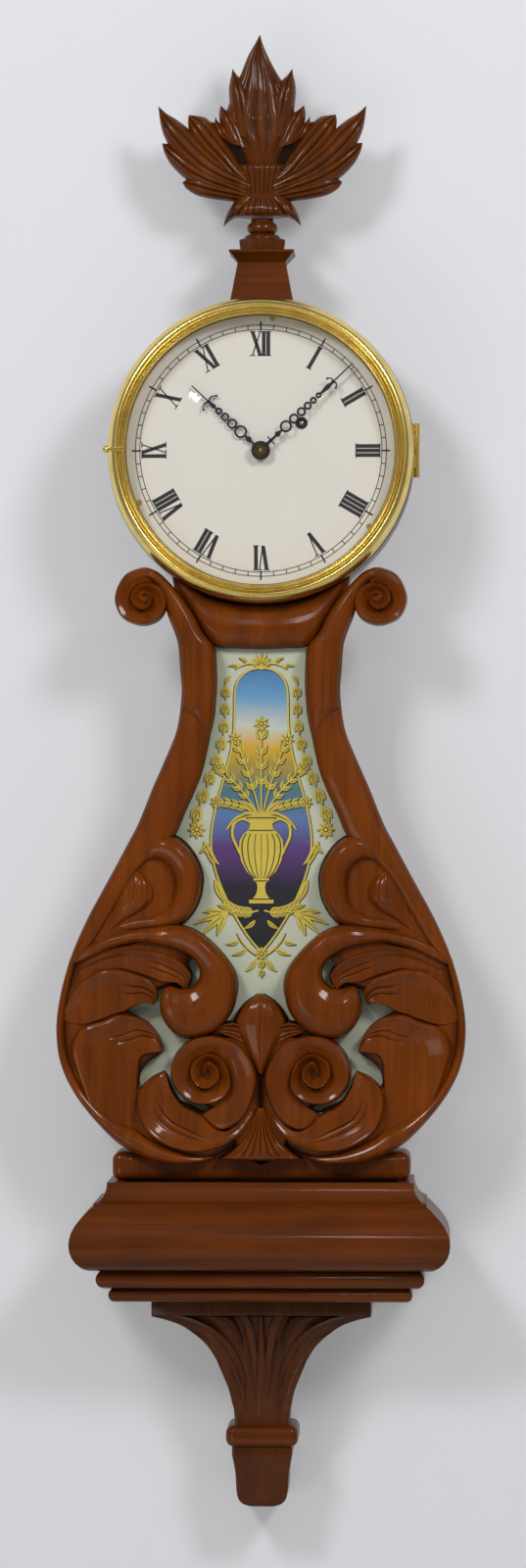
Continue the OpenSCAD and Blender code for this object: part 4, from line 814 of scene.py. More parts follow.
def eased_block(bm, half, foot, top, near, far, ease, segments=3):
    """A block with all its edges rounded."""
    block = bmesh.ops.create_cube(bm, size=1)["verts"]
    bmesh.ops.scale(bm, vec=(2 * half * MM, (far - near) * MM, (top - foot) * MM), verts=block)
    bmesh.ops.translate(bm, vec=at(0, (top + foot) / 2, (near + far) / 2), verts=block)
    edges = list({e for v in block for e in v.link_edges})
    bmesh.ops.bevel(bm, geom=edges, offset=ease * MM, affect="EDGES", segments=segments,
                    profile=0.5, material=-1)


def board(name, node, finish, ease, segments):
    """A block with rounded edges in the place of a CAD node."""
    bm = bmesh.new()
    eased_block(bm, *node_block(node), ease, segments)
    made(name, bm, finish, node)


CORNER_SHARE = 0.2


def shaft(bm, stations, back, ease, columns=24):
    """A flat-fronted body with eased front edges, from stations of height, half width and front."""
    rows = ROWS_PER_STATION * (len(stations) - 1)
    path = spread(stations, rows)

    def place(row, column):
        z, half, front = path[row]
        soft = min(ease, 0.7 * half)
        if column in (0, columns + 2):
            return at(-half if column == 0 else half, z, back), 0.0
        t = (column - 1) / columns
        side, from_edge = (-1, t) if t <= 0.5 else (1, 1 - t)
        turn = min(1, from_edge / CORNER_SHARE) * QUARTER
        flat = max(0, (from_edge - CORNER_SHARE) / (1 - 2 * CORNER_SHARE)) * 2 * (half - soft)
        x = side * (half - soft * (1 - math.cos(turn)) - flat)
        return at(x, z, front - soft * (1 - math.sin(turn))), 0.0

    tube(bm, rows, columns + 3, place)


MOULDING = (
    (107.4, 0), (107.6, 3), (108.4, 6.6), (110, 10), (112.4, 12.6), (115.4, 14), (116.4, 14.2),
    (116.4, 16.2), (117.2, 16.6), (119.4, 18.4), (122.6, 21.8), (126, 25.4), (129, 29.4),
    (131.2, 33.6), (132.5, 38), (132.9, 42.4), (132.4, 47), (130.9, 51.4), (128.4, 55.2),
    (125, 58.4), (121.4, 60.4), (119, 61))
MOULDING_INSIDE, BEAD_INSIDE = 96, 20
NOSE_STEPS = 16


def base():
    """Apron, cove and ovolo moulding, and the two bead boards under it."""
    half, foot, top, near, far = node_block("base_moulding")
    inside = [(MOULDING_INSIDE, foot), (MOULDING_INSIDE, top)]
    bm = bmesh.new()
    mitred(bm, [(edge, top - fall) for edge, fall in MOULDING] + inside, near, half - far)
    made("moulding", bm, BASE_WOOD, "base_moulding", 24)
    for node, name in (("base_bead_upper", "upper_bead"), ("base_bead_lower", "lower_bead")):
        half, foot, top, near, far = node_block(node)
        radius = (top - foot) / 2
        turns = [step / NOSE_STEPS * math.pi for step in range(NOSE_STEPS + 1)]
        nose = [(half - radius + radius * math.sin(a), (top + foot) / 2 + radius * math.cos(a))
                for a in turns]
        bm = bmesh.new()
        mitred(bm, nose + [(BEAD_INSIDE, foot), (BEAD_INSIDE, top)], near, half - far)
        made(name, bm, BASE_WOOD, node)
    board("apron", "base_apron", LYRE_WOOD, 6, 5)


# The bracket, left half: fronds as edge, edge, height, and the board's edge as height, half width

BRACKET_LEAN = 2
BRACKET_EDGE = (
    (-609, 77.3), (-612, 66), (-617.2, 54), (-629.3, 39.4), (-644.2, 30), (-656.7, 23.8),
    (-670.5, 20.7), (-681.5, 19.4), (-687, 19.2))
SIDE_FRONDS = (
    ((157, 1341, 156, 1343, 1), (178, 1340.5, 176, 1348, 3), (198, 1345, 193, 1356, 4.5),
     (218, 1355, 211, 1366, 5), (234, 1369, 226, 1381, 5), (245, 1386, 236, 1399, 4),
     (250, 1402, 243, 1416, 3), (252, 1420, 249, 1428, 1.5)),
    ((198, 1357, 196, 1360, 1), (214, 1362, 210, 1371, 3), (228, 1373, 221, 1386, 4),
     (238, 1388, 230, 1402, 4), (245, 1404, 236, 1419, 3.5), (250, 1420, 241, 1436, 2.5),
     (252, 1436, 246, 1446, 1.2)),
    ((225, 1385, 222, 1390, 1), (234, 1394, 228, 1405, 3), (241, 1408, 234, 1420, 3),
     (246, 1424, 238, 1436, 2.5), (250, 1440, 243, 1449, 1.5)),
)
FOLDED_LEAF = (
    (212, 1343, 222, 1345, 2), (226, 1343, 232, 1350, 4), (236, 1345, 240, 1362, 5),
    (244, 1356, 243, 1372, 4), (249, 1370, 247, 1384, 2))
MIDDLE_LOBE = (
    (240, 1342, 253, 1342, 3), (246, 1350, 259, 1352, 5), (251, 1366, 262, 1370, 5.5),
    (255, 1385, 265, 1392, 4.5), (258, 1406, 267, 1412, 3), (261, 1428, 267, 1432, 1.5))
MIDDLE_VEIN = even(AXIS_PX, ((3, 1343, 6), (4, 1360, 6.5), (5, 1380, 5.5), (6, 1400, 4),
                             (7, 1425, 2), (6, 1448, 1)))
SHELF, SHELF_OVERHANG = 11, 4
SHELF_HALF, STALK_HALF, FLARE = 77.3, 19, 58
STALK_FRONT, FROND_BACK, FROND_SINK = 54, 46, 0.4
EDGE_POINTS = 60


def bracket():
    """A console board with hollow sides, a spray of fronds up its face, and a collar."""
    _, _, top, near, far = node_block("bracket_console")

    def front(half):
        flare = max(0, min(1, (half - STALK_HALF) / FLARE)) ** 0.7
        return STALK_FRONT + (far - SHELF_OVERHANG - STALK_FRONT) * flare

    edge = [(z, half, front(half)) for z, half in BRACKET_EDGE]
    path = spread(edge, EDGE_POINTS)

    def face(_, z):
        return min(path, key=lambda p: abs(p[0] - z))[2] - FROND_SINK

    def frond(stations, profile):
        carved(bm, stations, profile, face, FROND_BACK, columns=20)

    bm = bmesh.new()
    for leaf in (*SIDE_FRONDS, FOLDED_LEAF, MIDDLE_LOBE):
        frond([(u - BRACKET_LEAN, v, u2 - BRACKET_LEAN, v2, h) for u, v, u2, v2, h in leaf], DISH)
    mirrored(bm)
    shaft(bm, edge, near, 1.5)
    eased_block(bm, SHELF_HALF, top - SHELF, top, near, far, 0.8)
    frond(MIDDLE_VEIN, DOME)
    made("carved_bracket", bm, BRACKET_WOOD, "bracket_console", 35)
    board("collar", "bracket_collar", BASE_WOOD, 5.5, 6)


def drop():
    """The square drop, hollowed towards its foot."""
    _, foot, top, near, far = node_block("bracket_drop")
    bm = bmesh.new()
    shaft(bm, ((top, 21.2, far), (top - 6, 21.2, far), (top - 12, 20, far - 0.6),
               (top - 20, 18.8, far - 1.6), (top - 31, 18.2, far - 2.4), (top - 37, 17, far - 3),
               (top - 41, 13.8, far - 4), (foot, 8.5, far - 6)), near, 1.2)
    made("drop", bm, BRACKET_WOOD, "bracket_drop", 35)


YOKE_LEFT = (
    (184, 592, 183, 604, 5), (199, 602, 200, 634, 8), (214, 610, 217, 659, 9.5),
    (240, 616, 240, 662, 10))
YOKE_MIDDLE = (AXIS_PX, 617.5, AXIS_PX, 663, 10)
YOKE_ROUND = 10.5


def yoke():
    """The half-round rail between the arms, under the head."""
    near, far = node_depths("yoke_rail")
    yoke_right = [(2 * AXIS_PX - u, v, 2 * AXIS_PX - u2, v2, h)
                  for u, v, u2, v2, h in reversed(YOKE_LEFT)]
    bm = bmesh.new()
    carved(bm, [*YOKE_LEFT, YOKE_MIDDLE, *yoke_right], HALF_ROUND, far - YOKE_ROUND, near)
    made("half_round_yoke", bm, LYRE_WOOD, "yoke_rail")


# Finishes on the solids that keep their CAD shape

KEPT_SOLIDS = (
    (PINE, "backboard tablet_retainers weight_partition finial_dowel pendulum_rod"),
    # The drum takes the near-black painted shade
    (DRUM_SHADE_WOOD, "head_drum"),
    (LYRE_WOOD, "lyre_side_left lyre_side_right"),
    (BASE_WOOD, "finial_plinth"),
    (STEEL, "case_screws hinge_pin pillar_screws centre_arbor cannon_pinion verge click"),
    (STEEL, "suspension_spring"),
    (PLATE_BRASS, "movement_back_plate movement_front_plate plate_pillars movement_legs"),
    (PLATE_BRASS, "centre_wheel hour_wheel minute_wheel great_wheel winding_drum third_wheel"),
    (PLATE_BRASS, "escape_wheel suspension_bridge pulley_bracket weight_pulley rating_nut pendulum_bob"),
    (IRON, "weight"),
    (BEZEL_BRASS, "bezel_pull hinge_leaf_bezel hinge_leaf_case glass_retaining_ring brass_screws"),
    (OLD_BRASS, "hand_nut"),
    (GLASS, "bezel_glass"),
    (TABLET_GLASS, "glass_tablet"),
    (DIAL_PAINT, "dial_plate"),
    (EYELET_BLACK_AND_SHADE, "winding_eyelet"),
)


def finish_solids():
    for finish, nodes in KEPT_SOLIDS:
        for node in nodes.split():
            slots = bpy.data.objects[node].data.materials
            slots.clear()
            slots.append(finish)


# Thin plates

def plate(bm, corners, near, far):
    """A flat shape, given by its corners, between two depths."""
    face = bm.faces.new([bm.verts.new(at(x, z, near)) for x, z in corners])
    grown = bmesh.ops.extrude_face_region(bm, geom=[face])["geom"]
    tops = [g for g in grown if isinstance(g, bmesh.types.BMVert)]
    bmesh.ops.translate(bm, vec=(0, (near - far) * MM, 0), verts=tops)


LEAST_RIBBON = 0.05


def ribbon(bm, stations, near, far, per_span=6):
    """A strip of changing width along a smooth line: each station is across, up and width."""
    rows = per_span * (len(stations) - 1)
    path = spread(stations, rows)

    def place(row, column):
        x, z, wide = path[row]
        x2, z2, _ = path[min(row + 1, rows)]
        x1, z1, _ = path[max(row - 1, 0)]
        run = math.hypot(x2 - x1, z2 - z1) or 1
        side = max(wide, LEAST_RIBBON) / 2 * (1 if column in (1, 2) else -1)
        depth = far if column in (2, 3) else near
        return at(x - (z2 - z1) / run * side, z + (x2 - x1) / run * side, depth), 0.0

    tube(bm, rows, 4, place, 1e-7)


def disc(bm, across, up, radius, near, far, steps):
    turns = [TURN * k / steps for k in range(steps)]
    plate(bm, [(across + radius * math.cos(a), up + radius * math.sin(a)) for a in turns], near, far)


def ring(bm, across, up, outer, inner, near, far, steps):
    section = [(inner, near), (outer, near), (outer, far), (inner, far)]
    lathed(bm, section, at(across, up, 0), FORWARD, steps)


def clockwise(angle, radius, right=0):
    """A place on the dial by its angle from the top, in degrees, its radius and its offset."""
    a = math.radians(angle)
    return radius * math.sin(a) + right * math.cos(a), radius * math.cos(a) - right * math.sin(a)


# The dial

NUMERALS = ("XII", "I", "II", "III", "IIII", "V", "VI", "VII", "VIII", "IX", "X", "XI")
NUMERAL_FOOT, NUMERAL_TOP = 66.8, 83.6
THICK, THIN, SERIF, SERIF_REACH = 2.7, 0.95, 0.75, 2
ADVANCE = {"I": 3.15, "V": 6.9, "X": 7.3}
LETTER_GAP, V_FOOT_GAP = 0.9, 0.3
TRACK_OUT, TRACK_IN, TRACK_LINE = 88.2, 85.1, 0.6
HOUR_MARK, MINUTE_MARK = (84.4, 90.8, 0.6), (TRACK_IN, TRACK_OUT, 0.34)
INK_SINK, INK_RISE = 0.1, 0.05


def letter_bars(letter, middle):
    """Bars of one letter: foot and top places, width, and whether the foot has a serif."""
    half = ADVANCE[letter] / 2 - LETTER_GAP
    left, right = middle - half, middle + half
    return {"I": [(middle, middle, THICK, True)],
            "V": [(middle, left, THICK, False), (middle + V_FOOT_GAP, right, THIN, False)],
            "X": [(right, left, THICK, True), (left, right, THIN, True)]}[letter]


def dial_print():
    """Numerals with their feet to the centre, and a minute track."""
    bm = bmesh.new()
    near, far = DIAL_FACE - INK_SINK, DIAL_FACE + INK_RISE

    def bar(angle, foot, top, half, low_end, high_end):
        corners = ((foot - half, low_end), (foot + half, low_end),
                   (top + half, high_end), (top - half, high_end))
        plate(bm, [clockwise(angle, radius, right) for right, radius in corners], near, far)

    for hour, word in enumerate(NUMERALS):
        angle = 30 * hour
        pen = -sum(ADVANCE[letter] for letter in word) / 2
        for letter in word:
            for foot, top, wide, foot_serif in letter_bars(letter, pen + ADVANCE[letter] / 2):
                bar(angle, foot, top, wide / 2, NUMERAL_FOOT, NUMERAL_TOP)
                serifs = ((foot, NUMERAL_FOOT), (top, NUMERAL_TOP))
                for place, radius in serifs if foot_serif else serifs[1:]:
                    bar(angle, place, place, SERIF_REACH, radius - SERIF / 2, radius + SERIF / 2)
            pen += ADVANCE[letter]
    for radius in (TRACK_IN, TRACK_OUT):
        ring(bm, 0, 0, radius + TRACK_LINE / 2, radius - TRACK_LINE / 2, near, far, 180)
    for minute in range(60):
        low_end, high_end, half = MINUTE_MARK if minute % 5 else HOUR_MARK
        bar(6 * minute, 0, 0, half, low_end, high_end)
    made("dial_print", bm, BLACK_PAINT)


# The hands

MINUTE_RINGS = ((24.4, 4.3), (32.2, 3.6), (39.3, 3.3), (45.4, 2.9), (50.9, 2.5), (56, 2.2))
HOUR_RINGS = ((19.3, 4.6), (27.5, 3.7), (34.4, 3.1), (40.4, 2.6))
HOUR_ANGLE, MINUTE_ANGLE = 313.2, 46.7
COLLET, COLLET_BORE = 6.6, 2.0
RING_WALL, CURL_END = 0.75, 0.85
CROSS_BAR_AT, CROSS_BAR_HALF = 10.1, 3.7


def hand(name, angle, node, body, rings, waist, spear, tip, arm):
    """A pierced hand: collet, lozenge, chain of rings, spear with two curled arms, fine point."""
    near, far = node_depths(node)
    bm = bmesh.new()
    ring(bm, 0, 0, COLLET, COLLET_BORE, near, far, 40)

    def strip(*stations):
        ribbon(bm, [(*clockwise(angle, s, t), wide) for s, t, wide in stations], near, far)

    chain_start, chain_end = rings[0][0] - rings[0][1], rings[-1][0] + rings[-1][1]
    strip((6, 0, 2.6), (waist - 4, 0, 1.6), (waist - 2, 0, 1.8), (waist, 0, 4.1), (waist + 2.4, 0, 2),
          (chain_start + 0.6, 0, 1.6))
    for place, radius in rings:
        section = [(radius - RING_WALL + RING_WALL * math.cos(a),
                    (near + far) / 2 + (far - near) / 2 * math.sin(a))
                   for a in (k * math.pi / 4 for k in range(8))]
        lathed(bm, section, at(*clockwise(angle, place), 0), FORWARD, 32)
    strip((chain_end - 0.6, 0, 1), (chain_end + 1.4, 0, 1.8), (spear - 5.5, 0, 3.4), (spear - 2, 0, 1.9),
          (spear, 0, 1.4), (spear + 3, 0, 1), (tip - 0.8, 0, 0.8), (tip, 0, 0.5))
    for out in (-arm, arm):
        strip((spear - 1, 0, 1.4), (spear + 0.6, 0.3 * out, 1.1), (spear + 0.4, 0.65 * out, 0.9),
              (spear - 1.4, out, 0.9))
        disc(bm, *clockwise(angle, spear - 1.6, out), CURL_END, near, far, 16)
    if node == "minute_hand":
        strip((CROSS_BAR_AT, -CROSS_BAR_HALF, 0.9), (CROSS_BAR_AT, CROSS_BAR_HALF, 0.9))
    made(name, bm, BLUED, node, 50, body)


def hands():
    hand("hour_hand_steel", HOUR_ANGLE, "hour_hand", "hour_pipe", HOUR_RINGS,
         waist=11.4, spear=50.5, tip=66.3, arm=6.7)
    hand("minute_hand_steel", MINUTE_ANGLE, "minute_hand", "minute_hand", MINUTE_RINGS,
         waist=16.5, spear=70, tip=88.4, arm=4.4)


# Bezel: radius and depth

BEZEL_PROFILE = (
    (107.3, 78.4), (107.3, 87.5), (106.9, 91), (105.8, 94.2), (104.2, 96.8), (102.6, 98.3),
    (101.2, 98.6), (100.1, 98.0), (99.6, 96.6), (99.2, 96.4), (98.8, 97.3), (98.1, 97.9),
    (97.4, 97.4), (97.1, 96.4), (96.7, 96.3), (96.3, 96.9), (95.8, 97.1), (95.2, 96.6), (95, 95.4),
    (95, 91.8), (99, 91.6), (100.4, 86), (100.4, 78.4))


def bezel():
    """The turned ring, with a bead and two fine reeds inside its roll."""
    bm = bmesh.new()
    lathed(bm, BEZEL_PROFILE, at(0, 0, 0), FORWARD, 180)
    made("turned_bezel", bm, BEZEL_BRASS, "bezel_ring", 50, "bezel")


# The painted tablet: thin films of paint in the back of the pane

FILM, FILM_STEP, FILM_STEPS = 0.05, 0.002, 40
GROUND_AT, PICTURE_AT, SHADE_AT, GILT_AT, LINE_AT = 69.2, 69.35, 69.5, 69.65, 69.85
GROUND_MIDDLE, GROUND_INSET = -310, 0.998
LEAF_WIDTHS = (0.25, 0.72, 1, 0.96, 0.72, 0.4, 0.1)
STEM_WIDTHS = (1, 0.95, 0.9, 0.85, 0.8, 0.7, 0.6)
VEIN, RIM_WIDTH, BAND_WIDTH = 0.45, 1.3, 0.7
URN_MOUTH = -255.6
PICTURE_EDGE = (
    (0, -152), (7, -153.4), (13, -157), (17.2, -163), (18.6, -171), (18.8, -182), (19.2, -195),
    (21, -209), (24.6, -224), (29.2, -240), (33.2, -256), (35.2, -270), (34.8, -283), (31.6, -297),
    (26.6, -310), (20.4, -323), (13.4, -335), (6.4, -345), (0, -352))
URN_EDGE = (
    (8.6, -318), (8.6, -315.4), (5.6, -314.4), (3.4, -311), (2.6, -307), (3.2, -303.6), (5.6, -302),
    (5.4, -300.4), (10.4, -295.4), (14.2, -288), (15.8, -280), (15.2, -273.6), (12.4, -269),
    (9, -266.4), (7.8, -263), (8.6, -259.6), (11.2, -257.6), (11.2, -255.6))
URN_BOWL = URN_EDGE[7:13]
URN_BANDS = ((-266.6, 8.6), (-257.8, 10.6), (-302.2, 5), (-315, 8))
GADROONS = (-0.86, -0.6, -0.3, 0, 0.3, 0.6, 0.86)
HUSK_CHAIN = (
    (24.8, -166), (25, -178), (25.4, -190), (27, -202), (30.2, -214), (34.6, -226), (39.4, -238.6),
    (44.2, -251))
CHAIN_END = (48, -262)
STEMS = ((13, 56, 10), (31, 44, 18), (56, 31, 34))
HANDLE = ((8, -261), (13.4, -258.6), (19.2, -262), (20.4, -270), (17.4, -277.6), (14.8, -284))
HANDLE_WIDTHS = (1.2, 1.6, 1.8, 1.8, 1.6, 1)
# Leaves and stems of one half: across, up, angle, length, width, bend
BORDER_LEAVES = (
    (40, -274, 196, 20, 4.4, 32), (38.4, -281, 222, 13, 3.6, -34), (37.6, -276, 150, 9, 3, -24),
    (32.2, -301, 190, 20, 4.2, 30), (24.6, -325, 96, 24, 4.6, 26), (24.6, -325, 122, 22, 4.6, 20),
    (24.6, -325, 150, 17, 4.6, 16), (24.6, -325, 72, 17, 4.6, 30))
FOOT_STEM = (3, -354, 62, 21, 1.5, -40)
FOOT_LEAVES = ((10.4, -350, 128, 11, 3, -30), (16, -344.6, 118, 9, 2.8, -30),
               (3, -357, 158, 12, 3.2, -40))
HEAD_STEM = (4, -149, 84, 15, 1.4, 44)
HEAD_LEAVES = ((9, -148.8, 44, 7.6, 2.4, 34), (16, -151, 66, 7.4, 2.4, 50),
               (21.4, -157.6, 128, 8, 2.6, 40))
URN_LEAVES = ((4, -256, 84, 25, 4, 66), (4, -256, 22, 17, 4, 60), (4, -256, 70, 14, 4, 70))
LOW_STEM, LOW_LEAF = (2, -323, 108, 27, 1.1, -62), (4.4, -330, 146, 10, 3, -40)


def bent(x, z, angle, length, bend, steps=6):
    """Places along a stroke that leaves a point at an angle from upright and bends as it goes."""
    places = [(x, z)]
    for i in range(steps):
        dx, dz = clockwise(angle + bend * (i + 0.5) / steps, length / steps)
        x, z = x + dx, z + dz
        places.append((x, z))
    return places


def heading(x, z, x2, z2):
    """The angle from upright of the way from one place to another, in degrees."""
    return math.degrees(math.atan2(x2 - x, z2 - z))


def film(depth):
    return depth, depth + FILM


class Painting:
    """Gilt strokes, each with a dark stroke under its lower side and, on leaves, a fine vein."""

    def __init__(self):
        self.gilt = bmesh.new()
        self.ink = bmesh.new()
        self.count = 0

    def layer(self, depth):
        """A depth of its own for each stroke, so that no two strokes lie in one plane."""
        self.count += 1
        return film(depth + FILM_STEP * (self.count % FILM_STEPS))

    def stroke(self, places, widths, vein=0):
        shade, top, line = self.layer(SHADE_AT), self.layer(GILT_AT), self.layer(LINE_AT)
        run = [(x, z, w) for (x, z), w in zip(places, widths)]
        ribbon(self.ink, [(x + 0.35, z - 0.45, w + 0.5) for x, z, w in run], *shade, 3)
        ribbon(self.gilt, run, *top, 3)
        if vein:
            fine = [(x + 0.12, z - 0.15, vein * w / max(widths)) for x, z, w in run[1:-1]]
            ribbon(self.ink, fine, *line, 3)

    def leaf(self, x, z, angle, length, wide, bend=0):
        self.stroke(bent(x, z, angle, length, bend), [wide * w for w in LEAF_WIDTHS], VEIN)

    def stem(self, x, z, angle, length, wide, bend=0):
        places = bent(x, z, angle, length, bend)
        self.stroke(places, [wide * w for w in STEM_WIDTHS])
        return places

    def leaves(self, rows):
        for row in rows:
            self.leaf(*row)

    def spot(self, x, z, radius):
        shade, top = self.layer(SHADE_AT), self.layer(GILT_AT + 0.1)
        disc(self.ink, x + 0.3, z - 0.35, radius + 0.25, *shade, 20)
        disc(self.gilt, x, z, radius, *top, 20)

    def rosette(self, x, z, length, petals):
        for k in range(petals):
            self.leaf(x, z, 360 * k / petals, length, length * 0.52)
        disc(self.ink, x, z, length * 0.27, *film(LINE_AT + 0.1), 20)
        disc(self.gilt, x, z, length * 0.19, *film(LINE_AT + 0.2), 20)

    def husk(self, x, z, angle, length):
        for turn, share in ((-34, 0.86), (34, 0.86), (0, 1.1)):
            self.leaf(x, z, angle + turn, length * share, length * 0.42, -turn * 0.8)

    def spray(self, places, length, lean):
        """Leaves in pairs along a stem."""
        for place, after in zip(places[1:-1], places[2:]):
            for side in (-1, 1):
                angle = heading(*place, *after) + side * lean
                self.leaf(*place, angle, length, length * 0.44, -side * 20)

    def flower(self, x, angle, length, bend, leaf, petal):
        """A stem from the urn's mouth, with leaves in pairs and a flower at its end."""
        stem = self.stem(x, URN_MOUTH, angle, length, 1.2, bend)
        self.spray(stem[1:], leaf, 42)
        self.rosette(*stem[-1], petal, 7)


def border(art):
    """One half of the gilding on the cream: a husk chain, a corner rosette and sprays."""
    for i, (place, after) in enumerate(zip(HUSK_CHAIN, (*HUSK_CHAIN[1:], CHAIN_END))):
        art.husk(*place, heading(*place, *after), 8 + 0.35 * i)
        art.spot(*place, 1.1 + 0.06 * i)
    art.rosette(45.4, -266, 6.4, 8)
    art.leaves(BORDER_LEAVES)
    art.spot(25, -325.4, 2)
    art.stem(*FOOT_STEM)
    art.leaves(FOOT_LEAVES)
    art.stem(*HEAD_STEM)
    art.leaves(HEAD_LEAVES)


def bouquet(art):
    """One half of the stems that stand in the urn, its handle and the spray at its foot."""
    for k, (angle, length, bend) in enumerate(STEMS):
        art.flower(0.9 * k + 0.9, angle, length, bend, 7.4 - 0.5 * k, 5.2 - 0.4 * k)
    art.leaves(URN_LEAVES)
    art.stroke(HANDLE, HANDLE_WIDTHS)
    art.spray(art.stem(*LOW_STEM), 7.2, 40)
    art.leaf(*LOW_LEAF)


def middle_motifs(art):
    """What stands on the tablet's middle: the tallest flower, a fan, a knot and the urn."""
    art.flower(0, 0, 64, 0, 7.8, 5.6)
    for angle in range(-75, 76, 25):
        art.leaf(0, -151, angle, 9.4 - abs(angle) / 40, 3.2)
    art.spot(0, -151.4, 2.2)
    for z, length in ((-358, 6), (-364.6, 5.4)):
        art.husk(0, z, 180, length)
    art.rosette(0, -353.6, 5, 8)
    other_edge = [(-x, z) for x, z in reversed(URN_EDGE)]
    shadow = [(x + 0.5, z - 0.5) for x, z in URN_EDGE] + [(x + 0.3, z - 0.5) for x, z in other_edge]
    plate(art.ink, shadow, *film(SHADE_AT + 0.1))
    plate(art.gilt, [*URN_EDGE, *other_edge], *film(GILT_AT + 0.12))
    for share in GADROONS:
        line = [(x * share, z, 0.35 + 0.5 * abs(share)) for x, z in URN_BOWL]
        ribbon(art.ink, line, *film(LINE_AT + 0.1), 3)
    for z, half in URN_BANDS:
        ribbon(art.ink, [(-half, z, BAND_WIDTH), (half, z, BAND_WIDTH)], *film(LINE_AT + 0.12))


def tablet():
    """A shaded picture on a cream ground, with an urn of flowers, a husk border, a fan and a knot."""
    pane = bpy.data.objects["glass_tablet"].data
    ground = bmesh.new()
    corners = [ground.verts.new(v.co) for v in pane.vertices]
    for face in pane.polygons:
        ground.faces.new([corners[i] for i in face.vertices])
    bmesh.ops.remove_doubles(ground, verts=ground.verts, dist=1e-7)
    back, front = node_depths("glass_tablet")
    bmesh.ops.scale(ground, vec=(GROUND_INSET, FILM / (front - back), GROUND_INSET),
                    verts=ground.verts, space=Matrix.Translation(-at(0, GROUND_MIDDLE, GROUND_AT)))
    made("tablet_ground", ground, TABLET_GROUND)
    edge = spread(PICTURE_EDGE, 90)
    picture = bmesh.new()
    plate(picture, edge + [(-x, z) for x, z in edge[-2:0:-1]], *film(PICTURE_AT))
    made("tablet_picture", picture, PICTURE)
    art = Painting()
    border(art)
    bouquet(art)
    art.stroke(PICTURE_EDGE, [RIM_WIDTH] * len(PICTURE_EDGE))
    mirrored(art.gilt)
    mirrored(art.ink)
    middle_motifs(art)
    made("tablet_shading", art.ink, INK)
    made("tablet_gilding", art.gilt, GILT)


# Winding hole and cable

WIND_X, WIND_Z = 28.6, 19.4
EYELET_OUT, EYELET_IN, EYELET_LONG = 2.98, 2.55, 14
SQUARE_HALF = 1.73
CABLE_SIDES, CABLE_BENDS = 8, 24


def winding_hole():
    """A tube painted black as the shade inside the eyelet, round the arbor square, also painted black as
    shade, with its bright end.
    """
    face = node_depths("winding_eyelet")[1]
    bm = bmesh.new()
    # Painted shade: a black tube lining the hole
    ring(bm, WIND_X, WIND_Z, EYELET_OUT, EYELET_IN, face - EYELET_LONG, face - 0.1, 40)
    made("eyelet_shade_tube", bm, EYELET_BLACK_AND_SHADE)
    # Painted shade: the arbor square is blackened as the hole's shade
    bm = bmesh.new()
    square = [(WIND_X + x * SQUARE_HALF, WIND_Z + z * SQUARE_HALF)
              for x, z in ((-1, -1), (1, -1), (1, 1), (-1, 1))]
    plate(bm, square, face - EYELET_LONG, face - 0.75)
    made("winding_square", bm, EYELET_BLACK_AND_SHADE, body="winding_drum")
    bm = bmesh.new()
    lathed(bm, [(0, face - 1), (1.5, face - 1), (1.45, face - 0.6), (1, face - 0.3), (0, face - 0.2)],
           at(WIND_X, WIND_Z, 0), FORWARD, 24)
    made("winding_arbor_tip", bm, STEEL, body="winding_drum")


def cable():
    """The gut line: down from the drum, round the pulley and up to its post."""
    left, right, foot, top = node_span("cable")
    near, far = node_depths("cable")
    thick = far - near
    reach = (right - left - thick) / 2
    middle, level = (left + right) / 2, (near + far) / 2
    low_z = foot + thick / 2 + reach
    turns = [math.pi * k / CABLE_BENDS for k in range(CABLE_BENDS + 1)]
    half_turn = [(middle - reach * math.cos(a), low_z - reach * math.sin(a)) for a in turns]
    route = [(middle - reach, top - 0.4), *half_turn, (middle + reach, top)]

    def place(row, column):
        x, z = route[row]
        a = TURN * column / CABLE_SIDES
        lean = min(1, max(-1, (x - middle) / reach))
        fall = (1 - lean * lean) ** 0.5
        out, forward = thick / 2 * math.cos(a), thick / 2 * math.sin(a)
        return at(x + out * lean, z - out * fall, level + forward), 0.0

    bm = bmesh.new()
    tube(bm, len(route) - 1, CABLE_SIDES, place)
    line = made("gut_cable", bm, GUT, "cable")
    anchor = at(middle, top, level)
    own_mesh(line)


# Camera, wall, floor and light

SHOWN_TO = ("Is Camera Ray", "Is Glossy Ray", "Is Transmission Ray")
WALL_GLOW = 0.16
WALL_Y, FLOOR_Z = 0.001, -1.4
WALL = [(-4, WALL_Y, FLOOR_Z), (4, WALL_Y, FLOOR_Z), (4, WALL_Y, 2.5), (-4, WALL_Y, 2.5)]
FLOOR = [(-5, -6, FLOOR_Z), (5, -6, FLOOR_Z), (5, 5, FLOOR_Z), (-5, 5, FLOOR_Z)]
EYE_Z = DIAL_Z - 0.234
CAMERA_AT, CAMERA_AIM = (0.13, -4.285, EYE_Z), (0.0017, -0.085, EYE_Z)
LENS, SENSOR_HEIGHT = 137.6, 36
# Lamps: place, aim, size, watts
LAMPS = {
    "left_lamp": ((-1.2, -2.3, 1.2), (0, 0, -0.35), 0.6, 31),
    "right_lamp": ((1.3, -2.1, 1.1), (0, 0, -0.35), 0.6, 28),
    "low_fill": ((-1.0, -1.8, -1.2), (0, 0, -0.6), 0.8, 4),
    "left_bulb": ((-0.65, -2.5, 0.53), (0, 0, -0.2), 0.05, 0.8),
    "middle_bulb": ((0.03, -2.5, 0.55), (0, 0, -0.2), 0.05, 0.8),
    "right_bulb": ((0.46, -2.5, 0.52), (0, 0, -0.2), 0.05, 0.8),
}
ROOM_LIGHT = 0.2


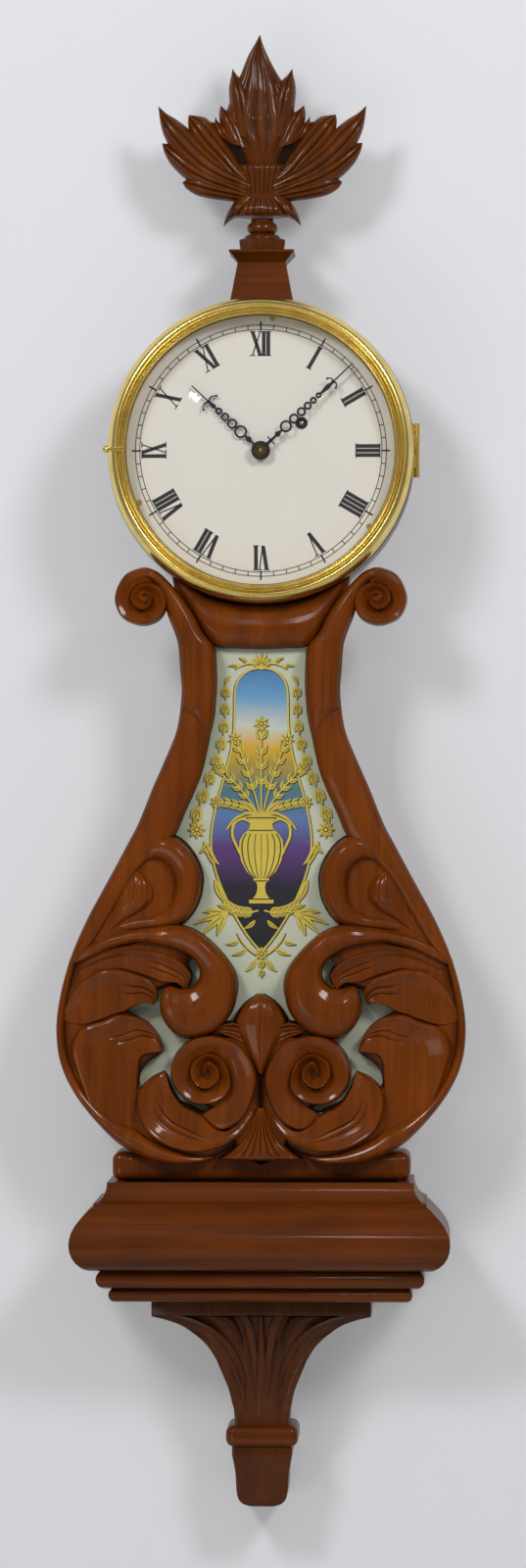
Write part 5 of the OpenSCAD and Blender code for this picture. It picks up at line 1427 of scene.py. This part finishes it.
def pale_sheet(name, colour, see_through_behind, glow=0.0):
    """Matt stage paint, its shadows lifted by a glow; a wall painted so is not seen from behind."""
    f = Finish(name)
    cloud = f.noise(f.place(), scale=3, detail=2)
    rays = [f.node("ShaderNodeLightPath", output=ray) for ray in SHOWN_TO]
    shown = rays[0].math("MAXIMUM", rays[1]).math("MAXIMUM", rays[2])
    f.set(Base_Color=f.blend(cloud * 0.1, colour, darker(colour, 0.9)), Roughness=0.9,
          Emission_Color=f.blend(shown, (0, 0, 0), (glow, glow, glow)), Emission_Strength=1.0)
    if see_through_behind:
        behind = f.node("ShaderNodeNewGeometry", output="Backfacing")
        f.cover(behind, Value(f, f.shader.outputs[0]), f.node("ShaderNodeBsdfTransparent"))
    return f.material


def stage_sheet(name, corners, finish):
    """A flat sheet of the stage."""
    bm = bmesh.new()
    bm.faces.new([bm.verts.new(corner) for corner in corners])
    mesh = bpy.data.meshes.new(name)
    bm.to_mesh(mesh)
    bm.free()
    mesh.materials.append(finish)
    sheet = bpy.data.objects.new(name, mesh)
    bpy.context.scene.collection.objects.link(sheet)
    return sheet


def aimed(name, data, place, aim):
    """A camera or lamp at a place, looking at another."""
    thing = bpy.data.objects.new(name, data)
    thing.location = place
    thing.rotation_euler = (Vector(aim) - thing.location).to_track_quat("-Z", "Y").to_euler()
    bpy.context.scene.collection.objects.link(thing)
    return thing


def room_light(level):
    """Even white light from all round the room."""
    scene = bpy.context.scene
    scene.world = scene.world or bpy.data.worlds.new("room")
    scene.world.use_nodes = True
    light = scene.world.node_tree.nodes["Background"]
    light.inputs["Color"].default_value = (1, 1, 1, 1)
    light.inputs["Strength"].default_value = level


def studio():
    """The photograph's camera, a pale wall and floor, two large lamps, a low fill and three bulbs."""
    scene = bpy.context.scene
    scene.view_settings.view_transform = "Standard"
    scene.camera = aimed("camera", bpy.data.cameras.new("camera"), CAMERA_AT, CAMERA_AIM)
    scene.camera.data.lens = LENS
    scene.camera.data.sensor_fit = "VERTICAL"
    scene.camera.data.sensor_height = SENSOR_HEIGHT
    wall = stage_sheet("wall", WALL, pale_sheet("wall_paint", paint(206, 207, 212), True, WALL_GLOW))
    wall.visible_shadow = False
    wall.visible_diffuse = False
    stage_sheet("floor", FLOOR, pale_sheet("floor_paint", paint(228, 227, 224), False))
    for name, (place, aim, size, watts) in LAMPS.items():
        lamp = aimed(name, bpy.data.lights.new(name, "AREA"), place, aim)
        lamp.data.size = size
        lamp.data.energy = watts
    room_light(ROOM_LIGHT)


for make in (lyre_front, finial, pedestal, base, bracket, drop, yoke, dial_print, hands, bezel,
             tablet, winding_hole, cable, finish_solids, studio):
    make()
